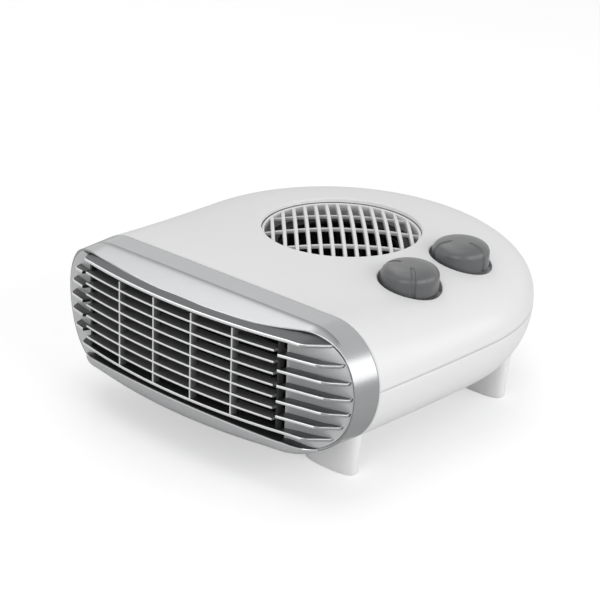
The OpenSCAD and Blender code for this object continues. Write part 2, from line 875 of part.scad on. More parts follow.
module control_body(place, size) {
    translate([place[0] - size[0] / 2, place[1] - size[1] / 2, control_top - control_h]) difference() {
        cube([size[0], size[1], control_h]);
        translate([size[0] / 2, size[1] / 2, control_h - 6.3])
            cylinder(h = 8, r = spindle_r + bush_clearance);
    }
}

module thermostat_body() {
    color("tan") centred() control_body(knob_places[0], thermostat_size);
}

module selector_switch() {
    color("black") centred() control_body(knob_places[1], selector_size);
}

module control_bracket() {
    end = post_r + 0.5;
    color("silver") centred() difference() {
        translate([bracket_x - bracket_w / 2, bracket_ys[0] - end, control_top])
            cube([bracket_w, bracket_ys[2] - bracket_ys[0] + 2 * end, bracket_t]);
        for (p = knob_places) translate([p[0], p[1], 0]) cylinder(h = far, r = spindle_r + spindle_gap);
        for (y = bracket_ys) translate([bracket_x, y, 0]) cylinder(h = far, r = small_screw_r + screw_gap);
    }
}

module bracket_screws() {
    color("silver") centred() for (y = bracket_ys)
        translate([bracket_x, y, control_top]) mirror([0, 0, 1]) small_screw([0, 0, 0], bracket_screw_l);
}

module terminal_block() {
    pole_r = 2.2;
    pitch = terminal_size[0] / terminal_poles;
    mid = terminal_size[1] / 2;
    color("ivory") centred() translate([-terminal_size[0] / 2, terminal_y, floor_z]) difference() {
        cube(terminal_size);
        for (i = [0 : terminal_poles - 1])
            translate([pitch * (i + 0.5), mid, terminal_size[2] / 2])
                cylinder(h = terminal_size[2], r = pole_r);
    }
}

module cord_inlet() {
    inside = 8;
    collar_w = 3;
    collar_t = 2;
    color("black") centred() translate([0, gland_y, gland_z]) rotate([-90, 0, 0]) difference() {
        union() {
            translate([0, 0, -inside]) cylinder(h = gland_l, r = gland_r);
            translate([0, 0, -collar_w]) cylinder(h = collar_t, r = gland_r + collar_w);
        }
        translate([0, 0, -gland_l]) cylinder(h = 3 * gland_l, r = cord_bore_r);
    }
}

module housing_screws() {
    color("silver") centred() for (p = boss_places) translate([p[0], p[1], 0]) {
        translate([0, 0, head_z - head_h]) cylinder(h = head_h, r = head_r);
        translate([0, 0, head_z]) cylinder(h = part_z + thread_in - head_z, r = screw_r);
    }
}

// Wing-shaped foot, wider at the top, standing at z = 0
module foot(p) {
    top = under_z + 9;
    flare = 8;
    color("gainsboro") centred() {
        difference() {
            hull() for (s = [-1, 1]) translate([p[0], p[1], 0]) {
                translate([s * (foot_len - foot_w) / 2, 0, 0])
                    cylinder(h = 2, r = foot_w / 2, $fn = 24);
                translate([s * (foot_len - foot_w + flare) / 2, 0, top - 1])
                    cylinder(h = 1, r = foot_w / 2 + 1, $fn = 24);
            }
            lower_solid(-0.1);
        }
        translate([p[0], p[1], under_z - 6]) cylinder(h = wall + 7.5, r = peg_r);
    }
}

module front_right_foot() { foot(foot_places[0]); }
module front_left_foot() { foot(foot_places[1]); }
module rear_right_foot() { foot(foot_places[2]); }
module rear_left_foot() { foot(foot_places[3]); }

upper_housing();
lower_housing();
intake_guard();
front_bezel();
outlet_grille();
louvre_rack();
heater_frame();
ceramic_bars();
fin_packs();
thermal_cutout();
thermal_fuse();
fan_scroll();
inlet_ring();
duct_screws();
fan_wheel();
motor_shaft();
motor_rotor();
motor_stator();
motor_coil();
lower_bearing_bracket();
upper_bearing_bracket();
bearing_bushes();
motor_screws();
thermostat_knob();
selector_knob();
thermostat_spindle();
selector_spindle();
thermostat_body();
selector_switch();
control_bracket();
bracket_screws();
terminal_block();
cord_inlet();
housing_screws();
front_right_foot();
front_left_foot();
rear_right_foot();
rear_left_foot();
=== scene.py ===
"""Flat fan heater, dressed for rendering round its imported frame.

Everything is in metres, in the frame of the CAD model: feet at z = 0, the air outlet towards -Y
and the knobs on the +X side. Sub-assemblies measure y back from the seam between bezel and
housing, as the construction does, and Sizes.at() moves a point into the frame.
"""

from __future__ import annotations

import json
import logging
import math
from dataclasses import dataclass, fields
from enum import Enum
from typing import Callable, Iterable, Protocol, Sequence

import bmesh
import bpy
from bmesh.types import BMEdge, BMesh, BMLayerItem, BMVert
from bpy.types import Material, MeshVertex, Node, NodeLinks, Nodes, NodeSocket, Object
from mathutils import Matrix, Vector
from mathutils.bvhtree import BVHTree
from mathutils.interpolate import poly_3d_calc

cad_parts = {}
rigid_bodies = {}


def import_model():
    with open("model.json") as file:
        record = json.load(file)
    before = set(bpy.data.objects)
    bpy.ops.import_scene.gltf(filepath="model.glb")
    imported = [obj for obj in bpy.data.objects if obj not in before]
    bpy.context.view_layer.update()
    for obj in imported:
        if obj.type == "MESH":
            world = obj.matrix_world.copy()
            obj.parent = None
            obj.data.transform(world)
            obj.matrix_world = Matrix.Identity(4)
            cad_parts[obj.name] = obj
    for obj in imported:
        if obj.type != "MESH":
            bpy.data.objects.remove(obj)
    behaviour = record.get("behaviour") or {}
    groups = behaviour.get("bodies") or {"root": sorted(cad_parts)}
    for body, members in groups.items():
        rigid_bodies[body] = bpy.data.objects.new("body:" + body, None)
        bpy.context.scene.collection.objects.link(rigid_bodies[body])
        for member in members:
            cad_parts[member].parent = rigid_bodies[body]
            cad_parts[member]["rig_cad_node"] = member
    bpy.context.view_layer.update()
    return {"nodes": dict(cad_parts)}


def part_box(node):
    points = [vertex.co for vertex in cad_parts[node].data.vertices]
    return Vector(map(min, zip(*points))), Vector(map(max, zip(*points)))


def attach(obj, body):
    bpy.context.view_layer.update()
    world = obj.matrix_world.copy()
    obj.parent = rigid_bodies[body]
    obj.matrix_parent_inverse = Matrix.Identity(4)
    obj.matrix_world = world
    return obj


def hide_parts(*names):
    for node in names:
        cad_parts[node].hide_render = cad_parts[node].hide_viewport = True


LOG = logging.getLogger("fan_heater")
MM = 0.001
HAIR = 0.001 * MM
NEARLY_ONE = 0.999
TURNED = 0.5

# A function from the key of a vertex to its place in the frame
Place = Callable[[Vector], Vector]


class Half(Enum):
    """The two housings, named by the side of the parting line that they lie on."""

    UPPER = 1
    LOWER = -1

    @property
    def node(self) -> str:
        """The CAD node of this half."""
        return self.name.lower() + "_housing"


@dataclass(frozen=True)
class Sizes:
    """Driving sizes of the heater, in metres.

    Attributes:
        seam_y: Place of the seam between bezel and housing in the frame.
        body_r: Radius of the round rear.
        body_cy: Distance of the rear's centre behind the seam.
        seam_half: Half of the width at the seam.
        under_z: Height of the flat underside.
        part_z: Height of the parting line.
        top_z: Height of the top at the seam.
        crown_rise: How much higher the dome is than the top at the seam.
        top_round: Rounding of the upper corners at the seam.
        bottom_round: Rounding of the lower corners.
        wall: Thickness of the housings.
        parting_gap: Open line between the housings.
        rim_reach: How far the ring's front edge stands ahead of the seam in the middle.
        rim_r: Radius of that edge in plan.
        rib_reach: How far the ribs stand ahead of the seam in the middle.
        rib_r: Radius of their front line in plan.
        crease_y: Distance of the ring's crease ahead of the seam.
        intake_r: Radius of the intake opening.
        pocket_r: Radius of the knob pockets.
        pocket_z: Height of their floor.
        cup_wall: Thickness of the pockets' walls.
        top_rib_z: Height of the top rib.
        bottom_rib_z: Height of the bottom rib.
        front_knob: Axis of the thermostat knob, as x and distance behind the seam.
        rear_knob: Axis of the selector knob, in the same way.
    """

    seam_y: float
    body_r: float
    body_cy: float
    seam_half: float = 112 * MM
    under_z: float = 24.1 * MM
    part_z: float = 61.3 * MM
    top_z: float = 95.5 * MM
    crown_rise: float = 4.2 * MM
    top_round: float = 33 * MM
    bottom_round: float = 31 * MM
    wall: float = 2.4 * MM
    parting_gap: float = 0.3 * MM
    rim_reach: float = 38.5 * MM
    rim_r: float = 323 * MM
    rib_reach: float = 45 * MM
    rib_r: float = 384 * MM
    crease_y: float = 15 * MM
    intake_r: float = 48 * MM
    pocket_r: float = 18.4 * MM
    pocket_z: float = 86.5 * MM
    cup_wall: float = 2 * MM
    top_rib_z: float = 91.8 * MM
    bottom_rib_z: float = 38.1 * MM
    front_knob: tuple[float, float] = (75 * MM, 69 * MM)
    rear_knob: tuple[float, float] = (73 * MM, 119 * MM)

    @classmethod
    def from_frame(cls) -> Sizes:
        """Reads the seam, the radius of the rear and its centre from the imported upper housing.

        Returns:
            The sizes of the heater in this frame.
        """
        low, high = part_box("upper_housing")
        radius = (high.x - low.x) / 2
        return cls(seam_y=low.y, body_r=radius, body_cy=high.y - radius - low.y)

    def at(self, x: float, y: float, z: float) -> Vector:
        """Moves a point measured from the seam into the frame."""
        return Vector((x, y + self.seam_y, z))

    @property
    def knobs(self) -> tuple[tuple[float, float], tuple[float, float]]:
        """Both knob axes, measured from the seam."""
        return (self.front_knob, self.rear_knob)


def arc_y(x: float, reach: float, radius: float) -> float:
    """Gives y on a plan arc whose foremost point stands reach ahead of the seam."""
    return radius - reach - math.sqrt(radius * radius - x * x)


def clamp(value: float, low: float = 0.0, high: float = 1.0) -> float:
    """Limits a value to a range."""
    return max(low, min(high, value))


def smooth_step(value: float) -> float:
    """Eases a value between 0 and 1 in and out."""
    t = clamp(value)
    return t * t * (3 - 2 * t)


def spread(count: int) -> list[float]:
    """Lists count + 1 even steps from 0 to 1."""
    return [i / count for i in range(count + 1)]


# Mesh helpers


def to_object(bm: BMesh, name: str) -> Object:
    """Writes a bmesh to a new object in the scene and frees it.

    Args:
        bm: The finished mesh, in frame coordinates.
        name: The object's name.

    Returns:
        The linked object, at the origin.
    """
    mesh = bpy.data.meshes.new(name)
    bm.to_mesh(mesh)
    bm.free()
    obj = bpy.data.objects.new(name, mesh)
    bpy.context.scene.collection.objects.link(obj)
    return obj


def face_outwards(bm: BMesh) -> None:
    """Merges doubles and turns every face of a closed mesh outwards."""
    bmesh.ops.remove_doubles(bm, verts=bm.verts[:], dist=HAIR)
    bmesh.ops.recalc_face_normals(bm, faces=bm.faces[:])


def shade(obj: Object, angle: float) -> Object:
    """Shades an object smooth, with edges sharper than an angle kept crisp.

    Args:
        obj: The object.
        angle: The angle in degrees.

    Returns:
        The same object.
    """
    obj.data.shade_smooth()
    obj.data.set_sharp_from_angle(angle=math.radians(angle))
    return obj


def quarter(radius: float) -> list[tuple[float, float]]:
    """Lists points of a coarse quarter circle round its centre, from the side up to the top."""
    return [(radius * math.cos(a), radius * math.sin(a)) for a in (0, 0.5, 1.05, math.pi / 2)]


def chain(bm: BMesh, points: Sequence[Vector], closed: bool = False) -> list[BMEdge]:
    """Draws a few vertices and the edges that join them in order.

    Args:
        bm: The mesh to draw in.
        points: The places of the vertices.
        closed: True to join the last vertex to the first.

    Returns:
        The new edges.
    """
    verts = [bm.verts.new(point) for point in points]
    edges = [bm.edges.new(pair) for pair in zip(verts, verts[1:])]
    if closed:
        edges.append(bm.edges.new((verts[-1], verts[0])))
    return edges


def keyed(
    bm: BMesh, keys: Sequence[Sequence[float]], closed: bool = True
) -> tuple[BMLayerItem, list[BMEdge]]:
    """Draws an outline whose vertices each carry a key of three numbers, by which they are placed.

    Args:
        bm: The empty mesh to draw in.
        keys: The keys in order.
        closed: False for an open outline.

    Returns:
        The layer that holds the keys, and the outline's edges.
    """
    tag = bm.verts.layers.float_vector.new("key")
    edges = chain(bm, [Vector() for _ in keys], closed)
    for vert, key in zip(bm.verts, keys):
        vert[tag] = key
    return tag, edges


def sweep(
    bm: BMesh, tag: BMLayerItem, edges: Iterable[BMEdge], places: Sequence[Place]
) -> list[BMEdge]:
    """Extrudes a loop of edges once for each place, and moves every new vertex there.

    Args:
        bm: The mesh that holds the loop.
        tag: The layer that holds the keys, which are copied on the way.
        edges: The loop to start from.
        places: One placing function for each step.

    Returns:
        The last loop.
    """
    loop = list(edges)
    for place in places:
        made = bmesh.ops.extrude_edge_only(bm, edges=loop)["geom"]
        fresh = {item for item in made if isinstance(item, BMVert)}
        loop = list(dict.fromkeys(e for v in fresh for e in v.link_edges if fresh.issuperset(e.verts)))
        for vert in fresh:
            vert.co = place(vert[tag])
    return loop


def cap(bm: BMesh, edges: Iterable[BMEdge]) -> None:
    """Fills a closed loop of edges with one face."""
    bmesh.ops.contextual_create(bm, geom=list(edges))


def swept_plate(keys: Sequence[Sequence[float]], places: Sequence[Place]) -> tuple[BMesh, BMLayerItem]:
    """Sweeps a closed outline along its places and closes both ends.

    Args:
        keys: The keys of the outline, in order.
        places: The placing functions, the first one included.

    Returns:
        The closed mesh, and the layer that holds the keys.
    """
    bm = bmesh.new()
    tag, edges = keyed(bm, keys)
    for vert in bm.verts:
        vert.co = places[0](vert[tag])
    last = sweep(bm, tag, edges, places[1:])
    cap(bm, edges)
    cap(bm, last)
    face_outwards(bm)
    bm.normal_update()
    return bm, tag


def round_edges(bm: BMesh, edges: Iterable[BMEdge], radius: float, segments: int = 2) -> None:
    """Rounds edges off with a bevel of the given radius."""
    bmesh.ops.bevel(
        bm,
        geom=list(edges),
        offset=radius,
        offset_type="OFFSET",
        segments=segments,
        profile=0.5,
        affect="EDGES",
        clamp_overlap=False,
        material=-1,
    )


def sharp_edges(bm: BMesh, angle: float) -> list[BMEdge]:
    """Lists the edges at which two faces meet at more than an angle in degrees."""
    limit = math.radians(angle)
    return [e for e in bm.edges if len(e.link_faces) == 2 and e.calc_face_angle(0) > limit]


def long_edges(bm: BMesh, axis: int, length: float) -> list[BMEdge]:
    """Lists the edges that run further than a length along an axis."""
    return [e for e in bm.edges if abs(e.verts[0].co[axis] - e.verts[1].co[axis]) > length]


def apply_modifiers(obj: Object) -> None:
    """Replaces an object's mesh by the result of its modifiers.

    Args:
        obj: The object, which keeps its name and loses its modifiers.
    """
    graph = bpy.context.evaluated_depsgraph_get()
    graph.update()
    mesh = bpy.data.meshes.new_from_object(obj.evaluated_get(graph))
    obj.modifiers.clear()
    obj.data = mesh


def subtract(obj: Object, cutters: Sequence[Object]) -> None:
    """Cuts closed solids out of an object, and deletes the cutters.

    Args:
        obj: The solid that is cut.
        cutters: The solids that are taken away, one after another.
    """
    for cutter in cutters:
        cut = obj.modifiers.new("cut", "BOOLEAN")
        cut.operation = "DIFFERENCE"
        cut.solver = "EXACT"
        cut.object = cutter
    apply_modifiers(obj)
    for cutter in cutters:
        bpy.data.objects.remove(cutter)


def join_into(bm: BMesh, part: BMesh) -> None:
    """Adds the mesh of a part to another mesh, and frees the part.

    Args:
        bm: The mesh that takes the part.
        part: The part, with its faces' material indices.
    """
    mesh = bpy.data.meshes.new("part")
    part.to_mesh(mesh)
    part.free()
    bm.from_mesh(mesh)
    bpy.data.meshes.remove(mesh)


def thicken(bm: BMesh, offset: Vector) -> None:
    """Turns an open sheet into a closed plate.

    Args:
        bm: The sheet.
        offset: How far and which way it is drawn out.
    """
    grown = bmesh.ops.extrude_face_region(bm, geom=bm.faces[:])["geom"]
    verts = [item for item in grown if isinstance(item, BMVert)]
    bmesh.ops.translate(bm, verts=verts, vec=offset)


def spin(bm: BMesh, edges: Sequence[BMEdge], centre: Vector, segments: int) -> None:
    """Spins a mesh that holds only a profile once round an upright axis."""
    bmesh.ops.spin(
        bm,
        geom=bm.verts[:] + list(edges),
        cent=centre,
        axis=(0, 0, 1),
        angle=math.tau,
        steps=segments,
        use_merge=True,
        use_duplicate=False,
    )
    face_outwards(bm)


def lathe(
    profile: Sequence[tuple[float, float]], centre: Vector, name: str, segments: int = 96
) -> Object:
    """Spins a profile of radius and height pairs into a closed solid.

    Args:
        profile: The outline from the axis round to the axis again.
        centre: The foot of the axis.
        name: The object's name.
        segments: The number of steps round the axis.

    Returns:
        The turned object.
    """
    bm = bmesh.new()
    edges = chain(bm, [centre + Vector((r, 0, z)) for r, z in profile])
    spin(bm, edges, centre, segments)
    return to_object(bm, name)


def plug(low: float, high: float, radius: float) -> list[tuple[float, float]]:
    """Gives the profile of a plain cylinder between two heights."""
    return [(0, low), (radius, low), (radius, high), (0, high)]


class NormalField:
    """Normals of a clean surface, kept to shade the same surface after it has been cut."""

    def __init__(self, obj: Object) -> None:
        """Reads the surface of an object before it is cut.

        Args:
            obj: The object, whole and clean.
        """
        mesh = obj.data
        self.points = [v.co.copy() for v in mesh.vertices]
        self.normals = [v.normal.copy() for v in mesh.vertices]
        self.faces = [tuple(p.vertices) for p in mesh.polygons]
        self.tree = BVHTree.FromPolygons(self.points, self.faces)

    def at(self, point: Vector, reach: float) -> Vector | None:
        """Gives the clean surface's normal near a point.

        Args:
            point: The point, in the frame.
            reach: How far it may lie from the clean surface.

        Returns:
            The normal, or None where the point lies too far off or on a large end face.
        """
        _, _, index, distance = self.tree.find_nearest(point)
        if index is None or distance > reach:
            return None
        corners = self.faces[index]
        if len(corners) > 4:
            return None
        weights = poly_3d_calc([self.points[i] for i in corners], point)
        normal = sum((self.normals[i] * w for i, w in zip(corners, weights)), Vector())
        return normal.normalized()

    def dress(self, obj: Object, reach: float = 0.06 * MM, angle: float = 40.0) -> None:
        """Gives the faces that still lie on the clean surface its normals.

        Args:
            obj: The cut object, already shaded.
            reach: How far a vertex may lie from the clean surface.
            angle: How far a face may turn from the clean normal, in degrees.
        """
        mesh = obj.data
        known = [self.at(v.co, reach) for v in mesh.vertices]
        limit = math.cos(math.radians(angle))
        normals = [Vector(n.vector) for n in mesh.corner_normals]
        for face in mesh.polygons:
            for corner in face.loop_indices:
                clean = known[mesh.loops[corner].vertex_index]
                if clean is not None and clean.dot(face.normal) > limit:
                    normals[corner] = clean
        mesh.normals_split_custom_set(normals)


# Finishes


@dataclass(frozen=True)
class Finish:
    """A moulded or metal surface: colour, gloss and a fine grain.

    Attributes:
        name: The material's name.
        color: Base colour, linear.
        metallic: 0 for plastic, 1 for bare metal.
        roughness: Mean roughness.
        grain: Size of the surface grain in metres.
        bump: Height of the grain in metres.
        tint: How far the colour wanders, as a share.
        coat: Weight of the clear coat.
        coat_roughness: Roughness of the clear coat.
        stretch: Scale of the grain along each axis, for drawn or brushed surfaces.

    PATCH is how much larger than the grain the patches of the tint are, and SWING is how far the
    roughness wanders, as a share.
    """

    name: str
    color: tuple[float, float, float]
    metallic: float = 0.0
    roughness: float = 0.45
    grain: float = 0.6 * MM
    bump: float = 0.01 * MM
    tint: float = 0.02
    coat: float = 0.0
    coat_roughness: float = 0.2
    stretch: tuple[float, float, float] = (1.0, 1.0, 1.0)

    PATCH = 60
    SWING = 0.08

    def material(self) -> Material:
        """Builds the node material, or finds it if it is there already.

        Returns:
            The material.
        """
        found = bpy.data.materials.get(self.name)
        if found:
            return found
        material = bpy.data.materials.new(self.name)
        material.use_nodes = True
        material.diffuse_color = (*self.color, 1.0)
        nodes, links = material.node_tree.nodes, material.node_tree.links
        shader = nodes["Principled BSDF"]
        shader.inputs["Metallic"].default_value = self.metallic
        shader.inputs["Coat Weight"].default_value = self.coat
        shader.inputs["Coat Roughness"].default_value = self.coat_roughness
        place = nodes.new("ShaderNodeTexCoord")
        mapping = nodes.new("ShaderNodeMapping")
        mapping.inputs["Scale"].default_value = self.stretch
        links.new(place.outputs["Object"], mapping.inputs["Vector"])
        fine = self._noise(nodes, links, mapping, 1 / self.grain, 3.0)
        broad = self._noise(nodes, links, mapping, 1 / (self.PATCH * self.grain), 2.0)
        color = nodes.new("ShaderNodeMix")
        color.data_type = "RGBA"
        color.inputs["A"].default_value = (*(c * (1 - self.tint) for c in self.color), 1.0)
        color.inputs["B"].default_value = (*(min(1.0, c * (1 + self.tint)) for c in self.color), 1.0)
        links.new(broad.outputs["Fac"], color.inputs["Factor"])
        links.new(color.outputs["Result"], shader.inputs["Base Color"])
        rough = nodes.new("ShaderNodeMapRange")
        rough.inputs["To Min"].default_value = self.roughness * (1 - self.SWING)
        rough.inputs["To Max"].default_value = min(1.0, self.roughness * (1 + self.SWING))
        links.new(fine.outputs["Fac"], rough.inputs["Value"])
        links.new(rough.outputs["Result"], shader.inputs["Roughness"])
        bump = nodes.new("ShaderNodeBump")
        bump.inputs["Strength"].default_value = 1.0
        bump.inputs["Distance"].default_value = self.bump
        links.new(fine.outputs["Fac"], bump.inputs["Height"])
        links.new(bump.outputs["Normal"], shader.inputs["Normal"])
        return material

    def _noise(self, nodes: Nodes, links: NodeLinks, mapping: Node, scale: float, detail: float) -> Node:
        """Adds a noise texture on object coordinates.

        Args:
            nodes: The material's nodes.
            links: The material's links.
            mapping: The node that gives the stretched coordinates.
            scale: Scale of the noise, per metre.
            detail: Number of finer layers.

        Returns:
            The texture node.
        """
        noise = nodes.new("ShaderNodeTexNoise")
        noise.inputs["Scale"].default_value = scale
        noise.inputs["Detail"].default_value = detail
        links.new(mapping.outputs["Vector"], noise.inputs["Vector"])
        return noise


@dataclass(frozen=True)
class PaintedCreaseShade(Finish):
    """Silver with painted shade that deepens softly just ahead of a crease on top of a piece.

    Attributes:
        crease_y: Where the crease lies, in the frame.
        run: How far ahead of it the painted shade reaches.
        low_z: Under this height there is no painted shade.
        high_z: From this height on the painted shade is full.
        shade: Share of the colour that the painted shade takes away at the crease.
    """

    crease_y: float = 0.0
    run: float = 5 * MM
    low_z: float = 88 * MM
    high_z: float = 94 * MM
    shade: float = 0.42

    def material(self) -> Material:
        """Builds the silver and scales its colour by the painted shade.

        Returns:
            The material.
        """
        material = super().material()
        nodes, links = material.node_tree.nodes, material.node_tree.links
        shader = nodes["Principled BSDF"]
        plain = shader.inputs["Base Color"].links[0].from_socket
        place = nodes.new("ShaderNodeTexCoord")
        split = nodes.new("ShaderNodeSeparateXYZ")
        links.new(place.outputs["Object"], split.inputs["Vector"])
        # Painted shade: the colour darkens just ahead of the crease, and only high on the piece.
        run = (self.crease_y - self.run, self.crease_y)
        rise = (self.low_z, self.high_z)
        ahead = self._eased(nodes, links, split.outputs["Y"], run, (1.0, 1 - self.shade))
        behind = nodes.new("ShaderNodeMath")
        behind.operation = "GREATER_THAN"
        behind.inputs[1].default_value = self.crease_y
        links.new(split.outputs["Y"], behind.inputs[0])
        under = self._eased(nodes, links, split.outputs["Z"], rise, (1.0, 0.0))
        factor = ahead
        for other in (behind.outputs["Value"], under):
            larger = nodes.new("ShaderNodeMath")
            larger.operation = "MAXIMUM"
            links.new(factor, larger.inputs[0])
            links.new(other, larger.inputs[1])
            factor = larger.outputs["Value"]
        scale = nodes.new("ShaderNodeVectorMath")
        scale.operation = "SCALE"
        links.new(plain, scale.inputs[0])
        links.new(factor, scale.inputs["Scale"])
        links.new(scale.outputs["Vector"], shader.inputs["Base Color"])
        return material

    def _eased(
        self,
        nodes: Nodes,
        links: NodeLinks,
        value: NodeSocket,
        source: tuple[float, float],
        target: tuple[float, float],
    ) -> NodeSocket:
        """Maps a value from one range to another with soft ends.

        Args:
            nodes: The material's nodes.
            links: The material's links.
            value: The socket that gives the value.
            source: The range that it comes from.
            target: The range that it is mapped to.

        Returns:
            The socket of the mapped value.
        """
        node = nodes.new("ShaderNodeMapRange")
        node.interpolation_type = "SMOOTHSTEP"
        links.new(value, node.inputs["Value"])
        for name, level in zip(("From Min", "From Max", "To Min", "To Max"), source + target):
            node.inputs[name].default_value = level
        return node.outputs["Result"]


WHITE = Finish(
    "housing white", (0.79, 0.79, 0.795), roughness=0.38, grain=0.35 * MM, bump=0.004 * MM, tint=0.008
)
# Painted light: the feet's white is lighter than the housing's, to make up for the shadow that they stand
# in.
FOOT_PAINTED_LIGHT = Finish("foot white", (0.86, 0.86, 0.865), roughness=0.42, grain=0.3 * MM, bump=0.004 * MM, tint=0.01)
SILVER = Finish("bezel silver", (0.40, 0.405, 0.41), 0.85, 0.25, 0.22 * MM, 0.003 * MM)
# Painted light: a lighter, less metallic copy of the bezel silver for the end panels.
PANEL_PAINTED_LIGHT = Finish("end panel silver", (0.6, 0.605, 0.61), 0.3, 0.42, 0.22 * MM, 0.003 * MM)
# Painted highlight: a bright copy of the bezel silver for the rounded front edges of ribs, louvres, bars
# and the lower lip.
NOSE_PAINTED_HIGHLIGHT = Finish("rib edge silver", (0.78, 0.785, 0.79), 0.85, 0.34, 0.22 * MM, 0.003 * MM)
# Painted shade: a dark copy of the bezel silver for the ribs' flats and the lower lip's top.
RIB_PAINTED_SHADE = Finish("rib silver in shade", (0.085, 0.087, 0.09), 0.7, 0.42, 0.22 * MM, 0.003 * MM)
# Painted shade: a darker copy of the bezel silver for the louvres' flats and the bars' sides.
LOUVRE_PAINTED_SHADE = Finish("louvre silver in shade", (0.26, 0.262, 0.265), 0.6, 0.45, 0.22 * MM, 0.003 * MM)
# Painted light: a lighter copy of the bezel silver for the lower lip.
LIP_PAINTED_LIGHT = Finish("lower lip silver", (0.56, 0.565, 0.57), 0.8, 0.3, 0.22 * MM, 0.003 * MM)
KNOB = Finish(
    "knob grey", (0.105, 0.107, 0.11), 0.0, 0.36, 0.28 * MM, 0.006 * MM, 0.03, coat=0.2, coat_roughness=0.3
)
# The ducts' own black, also put on the louvre rack's posts as painted shade.
DUCT_BLACK_AND_POST_SHADE = Finish("duct black", (0.018, 0.018, 0.019), roughness=0.6, grain=0.5 * MM, bump=0.02 * MM)
ELEMENT = Finish("element dark", (0.016, 0.016, 0.017), 0.3, 0.5, 0.3 * MM, 0.02 * MM, 0.1)
CERAMIC = Finish("ceramic pale", (0.5, 0.48, 0.43), 0.0, 0.75, 0.4 * MM, 0.02 * MM, 0.05)
# Painted shade: an almost black copy of the pale ceramic, for the bars inside the outlet.
CERAMIC_PAINTED_SHADE = Finish("ceramic bars dark", (0.03, 0.03, 0.031), 0.0, 0.7, 0.4 * MM, 0.02 * MM)
STEEL = Finish("plated steel", (0.55, 0.55, 0.56), 1.0, 0.32, 0.2 * MM, 0.004 * MM, 0.04, stretch=(1, 6, 1))
FAN = Finish("wheel black", (0.02, 0.02, 0.021), roughness=0.5, grain=0.4 * MM, bump=0.01 * MM)
COPPER = Finish(
    "enamelled winding", (0.42, 0.16, 0.06), 0.8, 0.35, 0.25 * MM, 0.03 * MM, 0.1, stretch=(1, 1, 8)
)
BRONZE = Finish("sintered bronze", (0.46, 0.30, 0.14), 0.9, 0.45, 0.2 * MM, 0.01 * MM, 0.08)
PHENOLIC = Finish("phenolic brown", (0.05, 0.028, 0.016), 0.0, 0.5, 0.5 * MM, 0.01 * MM, 0.15)
RUBBER = Finish("inlet rubber", (0.02, 0.02, 0.02), roughness=0.75, grain=0.3 * MM, bump=0.015 * MM)


def dress(
    obj: Object, finish: Finish, body: str, slot: str, nodes: Sequence[str], *others: Finish
) -> Object:
    """Gives a new piece its finish and body, and lets it stand for CAD nodes.

    Args:
        obj: The finished piece.
        finish: The surface that it shows.
        body: The CAD body that it rides on.
        slot: The record's material slot; not used.
        nodes: The CAD nodes that it replaces.
        others: The finishes of the faces that are marked with material index 1, 2 and so on.

    Returns:
        The same object.
    """
    for each in (finish, *others):
        obj.data.materials.append(each.material())
    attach(obj, body)
    if nodes:
        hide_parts(*nodes)
    return obj


class SubAssembly(Protocol):
    """A group of pieces that main builds and reports."""

    def build(self) -> list[Object]:
        """Builds and dresses the pieces."""


# The body of the heater


